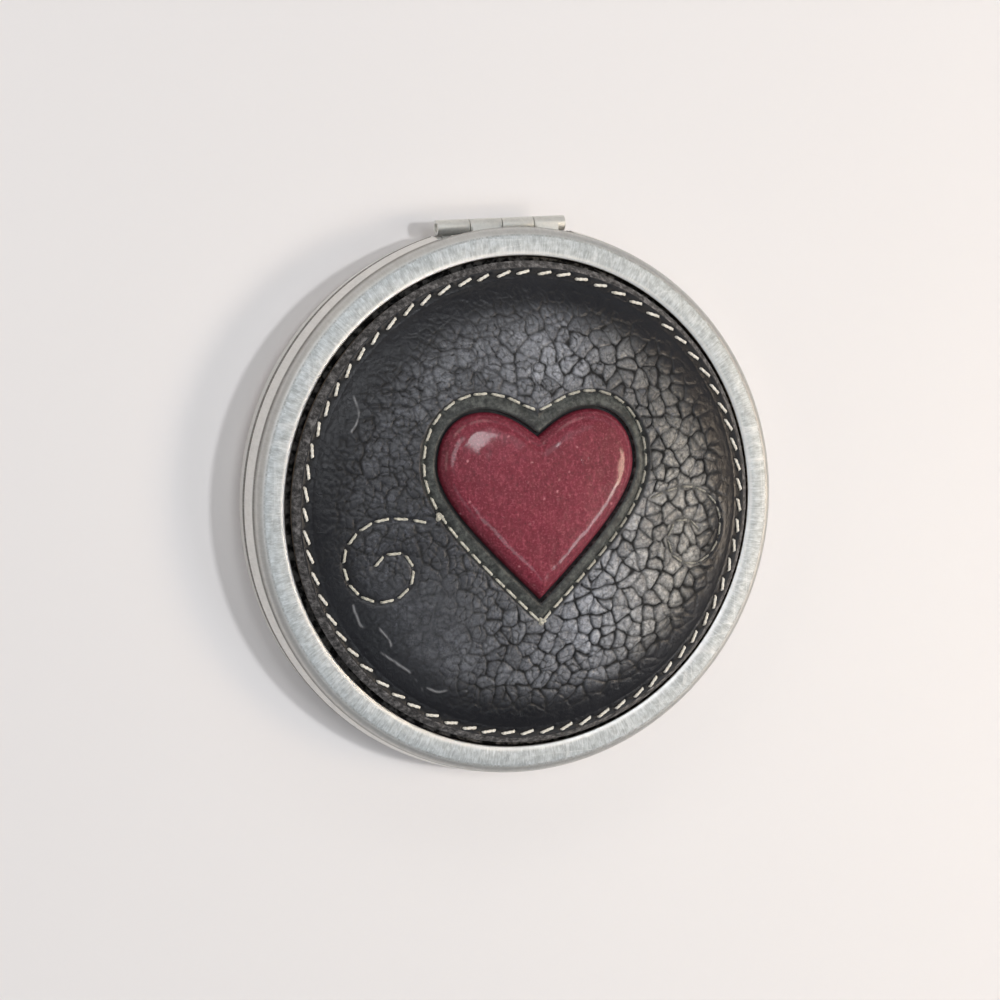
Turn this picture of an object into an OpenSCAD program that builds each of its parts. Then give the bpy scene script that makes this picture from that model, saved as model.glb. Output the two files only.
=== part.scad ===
// Round compact mirror: two metal trays on a rear barrel hinge, a mirror in each,
// and a padded leather panel with a heart inlay set into the lid.
// Origin: centre of the base's underside. +Z up, +Y towards the hinge.

/* [Case] */
// Outside diameter of the case, across the base's beaded rim
case_d = 70; // [68:0.5:74]
// Height of the base tray
base_h = 3.95; // [3.9:0.05:4.1]
// Sheet thickness of the base tray's wall and floor
base_t = 0.7; // [0.5:0.05:0.75]
// Gap between the two rims when the case is shut
rim_gap = 0.15; // [0.1:0.05:0.2]
// Width of the ring round the leather panel
ring_w = 3.65; // [3.5:0.05:3.8]

/* [Leather panel] */
// Rise of the padded crown above the sewn border
dome_h = 3.8; // [2.5:0.1:4.2]
// Leather thickness
leather_t = 1.2; // [1.0:0.1:1.3]
// Gap between the leather's cut edge and the ring
panel_gap = 0.6; // [0.4:0.05:0.7]

/* [Stitching] */
// Stitches round the border
stitch_n = 69; // [50:1:72]
// Length of one border stitch
stitch_l = 2.0; // [1.2:0.1:2.0]
// Thread diameter
thread_d = 0.42; // [0.3:0.02:0.42]
// Turn of each border stitch away from the seam line, degrees
stitch_turn = 15; // [0:1:15]
// Pitch of the stitches round the heart and along the curls
fine_pitch = 2.1; // [1.9:0.05:2.6]
// Length of one of those stitches
fine_l = 1.6; // [1.0:0.1:1.7]

/* [Heart] */
// Full width of the heart inlay
heart_w = 25.9; // [22:0.1:26.5]
// Turn of the heart about the case axis, degrees
heart_turn = -2.2; // [-4:0.1:4]
// Height of the heart's crown above the leather's crown
heart_rise = 0.9; // [0.4:0.1:1.2]
// Mean distance from the heart's edge out to its stitching
heart_seam = 1.85; // [1.5:0.05:2.1]

/* [Mirrors] */
// Margin between the case's edge and the plain mirror in the lid
lid_margin = 5.5; // [5.5:0.1:7]
// Thickness of the lid mirror
lid_glass_t = 1.6; // [1.2:0.1:1.6]
// Margin between the case's edge and the magnifying mirror in the base
base_margin = 5.0; // [5:0.1:6.5]
// Edge thickness of the base mirror
base_glass_t = 2.0; // [1.6:0.1:2.0]
// Depth of the base mirror's hollow
sag = 0.5; // [0.2:0.05:0.6]

/* [Hinge] */
// Length of the hinge barrel
hinge_l = 17; // [14:0.5:17]
// Outside diameter of the barrel
barrel_d = 1.9; // [1.8:0.05:1.9]
// Diameter of the hinge pin
pin_d = 1.0; // [0.8:0.05:1.0]
// Radial running clearance of the pin in the knuckles
pin_fit = 0.03; // [0.02:0.01:0.06]

/* [Catch] */
// Diameter of the catch magnets
magnet_d = 2.4; // [2:0.1:2.4]
// Thickness of the catch magnets
magnet_t = 1.2; // [0.8:0.1:1.2]

/* [Hidden] */
$fn = 96;

R = case_d / 2;                    // outermost radius, at the base's bead
lid_glass_d = case_d - 2 * lid_margin;
base_glass_d = case_d - 2 * base_margin;
wall_r = R - 0.1;                  // outside of the base wall
bay_r = wall_r - base_t;           // inside of the base wall
lid_r = R - 0.5;                   // outside of the lid, at its shoulder
lid_z = base_h + rim_gap;          // lower edge of the lid
plate_z = lid_z + 2.9;             // underside of the lid's plate
sheet = 0.5;                       // sheet thickness of the lid
seat_z = plate_z + sheet;          // floor of the recess for the panel
ring_z = seat_z + 0.8;             // height of the ring's inner edge
groove_z = ring_z - 1.4;           // height of the groove under the lid's shoulder
ring_r = lid_r - 0.1 - ring_w + 0.05;   // radius of the ring's inner edge

// hinge axis
hinge_y = R - 0.2;
hinge_z = base_h + 0.05;
knuckles = 4;
knuckle_l = hinge_l / knuckles;
pin_in = 0.6;                      // how far the pin's ends sit inside the barrel
leaf_hw = hinge_l / 2 - 1.05;      // half width of both leaves
notch_hw = hinge_l / 2 + 0.6;      // half width of the notches in the rims
rivet_x = 4.5;
rivet_d = 1.0;
rivet_turn = asin(rivet_x / bay_r);
base_rivet_z = base_h - 1.9;
lid_rivet_y = R - 6.6;
leaf_gap = 0.12;                   // between the base leaf and the wall it curves along
rivet_in = leaf_gap + 0.52;        // from the wall's inside to the base rivets' inner heads

// leather panel stack
panel_r = ring_r - panel_gap;
film_t = 0.15;
board_t = 1.2;
board_z = seat_z + film_t;
sew_z = board_z + board_t;         // underside of the leather at the border
edge_z = sew_z + leather_t + 0.05; // top of the leather at the border
foot_r = panel_r - 2.2;            // where the padded crown starts to rise
seam_r = panel_r - 1.45;           // the border stitches' circle
skive_w = 0.7;                     // how far the cut edge leans in
groove = 0.2;                      // depth of the channel that the border stitches lie in

// crown of the leather at distance r from the axis
function crown(r) = r >= foot_r ? edge_z
    : edge_z + dome_h * pow(1 - pow(r / foot_r, 2.4), 0.9);
function slope(r) = (crown(r + 0.05) - crown(max(r - 0.05, 0))) / (r > 0.05 ? 0.1 : 0.05 + r);
// crown of the heart
function heart_top(r) = crown(0) + heart_rise - 1.15 * pow(r / 13, 2);
crown_steps = 22;

heart_x = -0.1;                    // the heart's offset along X
curl_x = [0.25, 0.45];             // offset along X of the left and of the right curl
curl_turn = 0.8;                   // turn of both curls about the case axis, degrees

// heart outline: three curves on the right-hand side, mirrored
hk = heart_w / 25.9;
heart_keys = [
    [[0, 8.9], [1.3, 9.9], [3.8, 12.05], [6.9, 12.05]],
    [[6.9, 12.05], [10.5, 12.05], [12.95, 9.3], [12.95, 5.4]],
    [[12.95, 5.4], [12.95, 1.2], [8.2, -3.6], [0, -11.75]]];
function bez(k, t) = pow(1 - t, 3) * k[0] + 3 * t * pow(1 - t, 2) * k[1]
    + 3 * t * t * (1 - t) * k[2] + pow(t, 3) * k[3];
function bez_dir(k, t) = pow(1 - t, 2) * (k[1] - k[0]) + 2 * t * (1 - t) * (k[2] - k[1])
    + t * t * (k[3] - k[2]);
function out_dir(v) = [-v[1], v[0]] / norm(v);
function heart_side(grow, n) = [for (s = [0 : 2]) for (i = [0 : n - 1])
    let (t = i / n, k = heart_keys[s]) hk * bez(k, t) + grow * out_dir(bez_dir(k, t))];
function heart_tip(grow) = [0, -11.75 * hk - grow / sin(44.5)];
function heart_half(grow, n) = concat(
    [for (p = heart_side(grow, n)) if (p[0] > 0.3) p], [heart_tip(grow)]);
function cusp(h) = [0, h[0][1] - (grow_slope) * h[0][0]];
grow_slope = 0.75;
function heart_outline(grow, n) = let (h = heart_half(grow, n)) concat(
    [cusp(h)], h, [for (i = [len(h) - 2 : -1 : 0]) [-h[i][0], h[i][1]]]);

// the heart's seam, right half: closer at the sides and wider at the top, with a high notch
seam_notch = 3.0;
function seam_side(n) = [for (s = [0 : 2]) for (i = [0 : n - 1])
    let (t = i / n, k = heart_keys[s], u = out_dir(bez_dir(k, t)))
    hk * bez(k, t) + (heart_seam + 0.25 * (2 * u[1] * u[1] - 1)) * u];
function heart_seam_half(n) = concat([[0, 8.9 * hk + seam_notch]],
    [for (p = seam_side(n)) if (p[0] > 1.0) p], [heart_tip(heart_seam)]);

// walking along a path of points
function leg(p, i) = norm(p[i + 1] - p[i]);
function run(p, i = 0, s = 0) = i >= len(p) - 1 ? s : run(p, i + 1, s + leg(p, i));
function walk(p, s, i = 0) = i >= len(p) - 2 || s <= leg(p, i)
    ? [p[i] + (p[i + 1] - p[i]) * s / leg(p, i), (p[i + 1] - p[i]) / leg(p, i)]
    : walk(p, s - leg(p, i), i + 1);
function turn2(v, a) = [v[0] * cos(a) - v[1] * sin(a), v[0] * sin(a) + v[1] * cos(a)];

// curl: a lead-in from the heart, then a loop that winds inwards
curl_keys = [[14.5, -0.5], [17.5, 0.3], [20.5, 0.4], [23.0, -0.8], [24.7, -3.0],
             [24.9, -5.6], [23.9, -8.0], [21.6, -9.5], [18.9, -9.3], [17.1, -7.6],
             [16.9, -5.3], [18.3, -3.7], [20.3, -4.0], [21.6, -5.4]];
function spline(p, i, t) = let (a = p[max(i - 1, 0)], b = p[i], c = p[i + 1],
    d = p[min(i + 2, len(p) - 1)]) 0.5 * (2 * b + (c - a) * t
    + (2 * a - 5 * b + 4 * c - d) * t * t + (3 * b - a - 3 * c + d) * t * t * t);
curl_path = [for (i = [0 : len(curl_keys) - 2]) for (j = [0 : 3]) spline(curl_keys, i, j / 4)];

module ring_of(points) { rotate_extrude() polygon(points); }

// one straight stitch lying on the crown, at p, along the flat direction d
module stitch_on_crown(p, d, l) {
    r = norm(p);
    fall = atan(slope(r) * (p * d) / r);
    translate([p[0], p[1], crown(r) + (thread_d / 2 + 0.02) / cos(atan(slope(r)))])
        rotate([0, 90 - fall, atan2(d[1], d[0])])
            cylinder(h = l, d = thread_d, center = true, $fn = 20);
}

module stitches_along(path, pitch, l) {
    n = floor(run(path) / pitch);
    step = run(path) / n;
    for (i = [0 : n - 1]) {
        w = walk(path, (i + 0.5) * step);
        stitch_on_crown(w[0], w[1], l);
    }
}

// side s (-1 left, 1 right) of the rear wall, at radius r, facing outwards
module at_rear_wall(s, r, z) {
    rotate([0, 0, -s * rivet_turn]) translate([0, r, z]) rotate([-90, 0, 0]) children();
}

module knuckle(i) {
    translate([-hinge_l / 2 + i * knuckle_l + 0.06, hinge_y, hinge_z]) rotate([0, 90, 0])
        cylinder(h = knuckle_l - 0.12, d = barrel_d);
}

module pin_bore() {
    translate([-hinge_l, hinge_y, hinge_z]) rotate([0, 90, 0])
        cylinder(h = 2 * hinge_l, d = pin_d + 2 * pin_fit);
}

module base_shell() {
    color("gainsboro") difference() {
        ring_of([[0, 0], [wall_r - 1.2, 0], [wall_r - 0.6, 0.1], [wall_r - 0.25, 0.35],
            [wall_r - 0.07, 0.7], [wall_r, 1.1], [wall_r, base_h - 0.9],
            [R - 0.03, base_h - 0.75], [R, base_h - 0.55], [R, base_h - 0.25],
            [R - 0.1, base_h - 0.07], [R - 0.25, base_h], [bay_r + 0.15, base_h],
            [bay_r, base_h - 0.15], [bay_r, 1.3], [bay_r - 0.2, base_t + 0.1],
            [bay_r - 0.6, base_t], [0, base_t]]);
        translate([-notch_hw, bay_r - 4, hinge_z - 1.15]) cube([2 * notch_hw, 8, 4]);
        for (s = [-1, 1]) at_rear_wall(s, bay_r - 1, base_rivet_z)
            cylinder(h = 3, d = rivet_d);
    }
}

module base_mirror_pad() {
    color("dimgray") translate([0, 0, base_t])
        cylinder(h = 0.6, d = base_glass_d - 6);
}

base_glass_z = base_t + 0.6;
base_face_z = base_glass_z + base_glass_t;
module base_mirror() {
    face_r = base_glass_d / 2 - 0.8;
    color("lightcyan") ring_of(concat(
        [[0, base_glass_z], [base_glass_d / 2, base_glass_z], [base_glass_d / 2, base_face_z]],
        [for (i = [14 : -1 : 0]) let (r = face_r * i / 14)
            [r, base_face_z - sag * (1 - pow(r / face_r, 2))]]));
}

module base_bezel() {
    in_r = base_glass_d / 2 + 0.1;
    lip_r = base_glass_d / 2 - 0.8;
    out_r = bay_r - 1.0;
    top = base_face_z + 0.4;
    color("silver") difference() {
        ring_of([[in_r, base_t], [out_r - 0.2, base_t], [out_r, base_t + 0.25],
            [out_r, top - 0.2], [out_r - 0.2, top], [lip_r + 0.15, top],
            [lip_r, top - 0.15], [lip_r, base_face_z], [in_r, base_face_z]]);
        translate([0, -magnet_y, top - magnet_t]) cylinder(h = 3, d = magnet_d + 0.06);
    }
}
magnet_y = R - 3.5;

module base_magnet() {
    color("slategray") translate([0, -magnet_y, base_face_z + 0.4 - magnet_t])
        cylinder(h = magnet_t, d = magnet_d);
}

// piece of the sheet that curves along the inside of the base wall, from x0 to x1 and z0 to z1
module curved_leaf(x0, x1, z0, z1) {
    intersection() {
        difference() {
            translate([0, 0, z0]) cylinder(h = z1 - z0, r = bay_r - leaf_gap);
            cylinder(h = 20, r = bay_r - leaf_gap - 0.5);
        }
        translate([x0, 0, 0]) cube([x1 - x0, 2 * R, 20]);
    }
}

module base_hinge_leaf() {
    leaf_top = hinge_z - 1.2;
    color("silver") difference() {
        union() {
            curved_leaf(-leaf_hw, leaf_hw, base_h - 2.6, leaf_top);
            for (i = [0, 2]) {
                knuckle(i);
                // strap from the leaf, through the notch, to the knuckle
                x0 = max(-leaf_hw, -hinge_l / 2 + i * knuckle_l + 0.3);
                x1 = -hinge_l / 2 + (i + 1) * knuckle_l - 0.3;
                curved_leaf(x0, x1, leaf_top - 0.2, hinge_z - 0.6);
                difference() {
                    translate([x0, bay_r - 2, hinge_z - 1.1])
                        cube([x1 - x0, hinge_y - bay_r + 2, 0.5]);
                    cylinder(h = 20, r = bay_r - leaf_gap - 0.5);
                }
            }
        }
        pin_bore();
        for (s = [-1, 1]) at_rear_wall(s, bay_r - 3, base_rivet_z)
            cylinder(h = 6, d = rivet_d);
    }
}

module base_hinge_rivets() {
    color("silver") for (s = [-1, 1]) {
        at_rear_wall(s, bay_r - rivet_in, base_rivet_z) {
            cylinder(h = base_t + rivet_in, d = rivet_d);
            translate([0, 0, -0.22]) cylinder(h = 0.22, d = 1.35);
            translate([0, 0, base_t + rivet_in]) cylinder(h = 0.15, d = 1.4);
            translate([0, 0, base_t + rivet_in + 0.15]) cylinder(h = 0.1, d = 1.2);
        }
    }
}

module hinge_pin() {
    color("silver") {
        translate([-hinge_l / 2 + pin_in, hinge_y, hinge_z]) rotate([0, 90, 0])
            cylinder(h = hinge_l - 2 * pin_in, d = pin_d);
    }
}

module lid_shell() {
    e = lid_r;
    color("gainsboro") difference() {
        ring_of([[0, seat_z], [ring_r, seat_z], [ring_r, ring_z - 0.15],
            [ring_r + 0.15, ring_z + 0.05], [ring_r + 0.75, ring_z + 0.2],
            [ring_r + 1.65, ring_z + 0.25], [e - 1.0, ring_z + 0.12],
            [e - 0.5, ring_z - 0.2], [e - 0.2, ring_z - 0.6], [e - 0.08, ring_z - 1.0],
            [e - 0.08, ring_z - 1.3], [e - 0.2, groove_z], [e - 0.05, groove_z - 0.2],
            [e + 0.1, groove_z - 0.7], [e + 0.33, groove_z - 1.7], [e + 0.45, lid_z + 0.6],
            [e + 0.45, lid_z + 0.2], [e + 0.38, lid_z + 0.06], [e + 0.25, lid_z],
            [e - 0.15, lid_z], [e - 0.18, lid_z + 0.6], [e - 0.3, groove_z - 1.7],
            [e - 0.52, groove_z - 0.7], [e - 0.62, groove_z - 0.2], [e - 0.62, ring_z - 1.1], [e - 0.75, ring_z - 0.7], [e - 1.1, ring_z - 0.4],
            [ring_r + 1.65, ring_z - 0.27], [ring_r + 0.75, ring_z - 0.32],
            [ring_r + 0.5, ring_z - 0.45], [ring_r + 0.5, plate_z], [0, plate_z]]);
        // opening for the barrel and both leaves, up to the shoulder
        translate([-notch_hw, bay_r - 2.6, 0]) cube([2 * notch_hw, 8, plate_z]);
        for (s = [-1, 1]) translate([s * rivet_x, lid_rivet_y, 0])
            cylinder(h = 20, d = rivet_d);
    }
}

module lid_mirror_pad() {
    color("dimgray") translate([0, 0, plate_z - 0.8])
        cylinder(h = 0.8, d = lid_glass_d - 5);
}

lid_face_z = plate_z - 0.8 - lid_glass_t;
module lid_mirror() {
    color("lightcyan") translate([0, 0, lid_face_z])
        cylinder(h = lid_glass_t, d = lid_glass_d);
}

module lid_bezel() {
    in_r = lid_glass_d / 2 + 0.1;
    lip_r = lid_glass_d / 2 - 0.8;
    out_r = bay_r - 1.2;
    low = lid_face_z - 0.45;
    color("silver") difference() {
        ring_of([[lip_r, low + 0.2], [lip_r + 0.15, low], [out_r - 0.3, low],
            [out_r, low + 0.3], [out_r, plate_z], [in_r, plate_z],
            [in_r, lid_face_z], [lip_r, lid_face_z]]);
        translate([-leaf_hw - 0.3, lid_rivet_y - 1.5, plate_z - 0.7])
            cube([2 * leaf_hw + 0.6, 10, 5]);
        translate([0, -magnet_y, low - 1]) cylinder(h = 1 + magnet_t, d = magnet_d + 0.06);
    }
}

module lid_magnet() {
    color("slategray") translate([0, -magnet_y, lid_face_z - 0.45])
        cylinder(h = magnet_t, d = magnet_d);
}

module lid_hinge_leaf() {
    color("silver") difference() {
        union() {
            translate([-leaf_hw, lid_rivet_y - 1.2, plate_z - 0.45])
                cube([2 * leaf_hw, bay_r - 0.5 - lid_rivet_y + 1.2, 0.45]);
            for (i = [1, 3]) {
                knuckle(i);
                x0 = -hinge_l / 2 + i * knuckle_l + 0.3;
                x1 = min(leaf_hw, -hinge_l / 2 + (i + 1) * knuckle_l - 0.3);
                // strap from the leaf, down behind the bezel and out to the knuckle
                translate([x0, bay_r - 1.0, hinge_z + 0.45])
                    cube([x1 - x0, 0.5, plate_z - hinge_z - 0.45]);
                translate([x0, bay_r - 1.0, hinge_z + 0.45])
                    cube([x1 - x0, hinge_y - bay_r + 1.0, 0.5]);
            }
        }
        pin_bore();
        for (s = [-1, 1]) translate([s * rivet_x, lid_rivet_y, 0])
            cylinder(h = 20, d = rivet_d);
    }
}

module lid_hinge_rivets() {
    color("silver") for (s = [-1, 1]) translate([s * rivet_x, lid_rivet_y, 0]) {
        translate([0, 0, plate_z - 0.45]) cylinder(h = 0.45 + sheet, d = rivet_d);
        translate([0, 0, plate_z - 0.6]) cylinder(h = 0.15, d = 1.5);
        translate([0, 0, seat_z]) cylinder(h = 0.25, d = 1.5);
    }
}

module panel_adhesive() {
    color("khaki") translate([0, 0, seat_z]) cylinder(h = film_t, r = panel_r - 2.8);
}

module backing_board() {
    color("saddlebrown") difference() {
        translate([0, 0, board_z]) cylinder(h = board_t, r = panel_r - 0.15);
        for (s = [-1, 1]) translate([s * rivet_x, lid_rivet_y, board_z - 1])
            cylinder(h = 1.25, d = 2.0);
    }
}

module foam_padding() {
    color("dimgray") ring_of(concat([[0, sew_z]], [[foot_r - 0.6, sew_z]],
        [for (i = [crown_steps : -1 : 0]) let (r = (foot_r - 0.6) * i / crown_steps)
            [r, crown(r) - leather_t]]));
}

module leather_panel() {
    color("darkslategray") difference() {
        ring_of(concat(
            [for (i = [0 : crown_steps]) let (r = (foot_r - 0.6) * i / crown_steps)
                [r, crown(r) - leather_t]],
            [[foot_r - 0.6, sew_z], [panel_r, sew_z], [panel_r, sew_z + 0.1],
             [panel_r - skive_w, edge_z - 0.3], [seam_r + 0.6, edge_z - 0.06],
             [seam_r + 0.55, edge_z - 0.02],
             [seam_r + 0.55, edge_z - groove], [seam_r - 0.55, edge_z - groove],
             [seam_r - 0.55, edge_z], [foot_r, edge_z]],
            [for (i = [crown_steps - 1 : -1 : 0]) let (r = foot_r * i / crown_steps)
                [r, crown(r)]]));
        translate([heart_x, 0, 0]) rotate([0, 0, heart_turn]) linear_extrude(height = 30)
            polygon(heart_outline(0.1, 7));
    }
}

module heart_prism(k) {
    translate([heart_x, 0, 0]) rotate([0, 0, heart_turn]) linear_extrude(height = 30)
        polygon([for (p = heart_outline(0, 7)) k * p]);
}

// solid of revolution from the foam's top up to the heart's top less drop
module heart_cap(drop) {
    ring_of(concat(
        [for (i = [0 : 14]) let (r = (foot_r - 0.6) * i / crown_steps)
            [r, crown(r) - leather_t]],
        [for (i = [8 : -1 : 0]) let (r = (foot_r - 0.6) * 14 / crown_steps * i / 8)
            [r, heart_top(r) - drop]]));
}

module heart_padding() {
    color("dimgray") intersection() { heart_prism(0.88); heart_cap(0.9); }
}

module heart_inlay() {
    color("maroon") difference() {
        intersection() { heart_prism(1); heart_cap(0); }
        intersection() { heart_prism(0.88); heart_cap(0.9); }
    }
}

module border_stitching() {
    color("cornsilk") for (i = [0 : stitch_n - 1]) rotate([0, 0, i * 360 / stitch_n])
        translate([seam_r, 0, edge_z - groove + thread_d / 2 + 0.01])
            rotate([90, 0, stitch_turn])
                cylinder(h = stitch_l, d = thread_d, center = true, $fn = 20);
}

module heart_stitching() {
    right = heart_seam_half(9);
    at = [heart_x, 0];
    color("cornsilk") {
        stitches_along([for (p = right) at + turn2(p, heart_turn)], fine_pitch, fine_l);
        stitches_along([for (p = right) at + turn2([-p[0], p[1]], heart_turn)],
            fine_pitch, fine_l);
    }
}

module left_curl_stitching() {
    color("cornsilk")
        stitches_along([for (p = curl_path) turn2([curl_x[0] - p[0], p[1]], curl_turn)],
            fine_pitch, fine_l);
}

module right_curl_stitching() {
    color("cornsilk")
        stitches_along([for (p = curl_path) turn2([curl_x[1] + p[0], p[1]], curl_turn)],
            fine_pitch, fine_l);
}

base_shell();
base_mirror_pad();
base_mirror();
base_bezel();
base_hinge_leaf();
base_hinge_rivets();
hinge_pin();
base_magnet();
lid_shell();
lid_mirror_pad();
lid_mirror();
lid_bezel();
lid_hinge_leaf();
lid_hinge_rivets();
lid_magnet();
panel_adhesive();
backing_board();
foam_padding();
leather_panel();
heart_padding();
heart_inlay();
border_stitching();
heart_stitching();
left_curl_stitching();
right_curl_stitching();
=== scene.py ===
import math

import bmesh
import bpy
import numpy as np
from mathutils import Matrix, Vector


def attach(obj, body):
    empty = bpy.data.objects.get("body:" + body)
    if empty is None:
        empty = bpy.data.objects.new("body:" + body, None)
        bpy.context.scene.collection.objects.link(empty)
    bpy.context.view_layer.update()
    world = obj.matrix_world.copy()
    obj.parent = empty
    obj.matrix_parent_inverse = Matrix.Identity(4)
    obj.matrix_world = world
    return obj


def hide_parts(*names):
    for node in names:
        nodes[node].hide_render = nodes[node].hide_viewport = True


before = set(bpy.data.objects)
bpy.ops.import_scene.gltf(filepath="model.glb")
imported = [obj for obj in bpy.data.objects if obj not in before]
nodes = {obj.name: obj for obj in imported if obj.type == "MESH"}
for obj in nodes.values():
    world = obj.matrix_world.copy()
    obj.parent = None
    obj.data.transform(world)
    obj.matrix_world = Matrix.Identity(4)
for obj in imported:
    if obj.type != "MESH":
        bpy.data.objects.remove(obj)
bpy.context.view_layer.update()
MM = 0.001

# ---------------------------------------------------------------- sizes, in mm, as in the CAD
R = 35.0
BASE_H = 3.95
BASE_T = 0.7
WALL_R = R - 0.1
BAY_R = WALL_R - BASE_T
LID_R = R - 0.5
LID_Z = BASE_H + 0.15
PLATE_Z = LID_Z + 2.9
SEAT_Z = PLATE_Z + 0.5
RING_Z = SEAT_Z + 0.8
GROOVE_Z = RING_Z - 1.4
RING_R = LID_R - 3.7
PANEL_R = RING_R - 0.6
SEW_Z = SEAT_Z + 1.35
EDGE_Z = SEW_Z + 1.25
FOOT_R = PANEL_R - 2.2
SEAM_R = PANEL_R - 1.45
LEATHER_T = 1.2
DOME_H = 3.8
HINGE_Y = R - 0.2
HINGE_Z = BASE_H + 0.05
NOTCH = 9.1
HEART_TURN = math.radians(-2.2)
CURL_TURN = math.radians(0.8)
HEART_X = -0.1
CURL_X = (0.25, 0.45)
MAGNET_Y = R - 3.5


def crown(r):
    r = np.minimum(np.asarray(r, float), FOOT_R)
    return EDGE_Z + DOME_H * np.power(np.maximum(1 - np.power(r / FOOT_R, 2.4), 0), 0.9)


# ---------------------------------------------------------------- camera
TURN = math.radians(3.3)
TILT, SIDE = math.radians(20.1), math.radians(164.3)
c = np.array([math.sin(TILT) * math.cos(SIDE), math.sin(TILT) * math.sin(SIDE), math.cos(TILT)])
right = np.cross([0, 1, 0], c)
right /= np.linalg.norm(right)
up = np.cross(c, right)
FOCAL = 1800.0            # in pixels of a 1000 pixel frame
DIST = 225.6
eye = DIST * c - (526.7 - 500) / FOCAL * DIST * right + (503.6 - 500) / FOCAL * DIST * up


def unturn(v):
    x, y, z = v
    return Vector((x * math.cos(TURN) + y * math.sin(TURN),
                   -x * math.sin(TURN) + y * math.cos(TURN), z))


cam_data = bpy.data.cameras.new("camera")
cam = bpy.data.objects.new("camera", cam_data)
bpy.context.scene.collection.objects.link(cam)
cam_data.sensor_fit = "HORIZONTAL"
cam_data.sensor_width = 36.0
cam_data.lens = FOCAL / 1000 * 36.0
cam_data.clip_start, cam_data.clip_end = 0.005, 5.0
axes = Matrix((unturn(right), unturn(up), unturn(c))).transposed()
place = axes.to_4x4()
place.translation = (unturn(eye) + Vector((0, 0, RING_Z))) * MM
cam.matrix_world = place
bpy.context.scene.camera = cam


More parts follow.
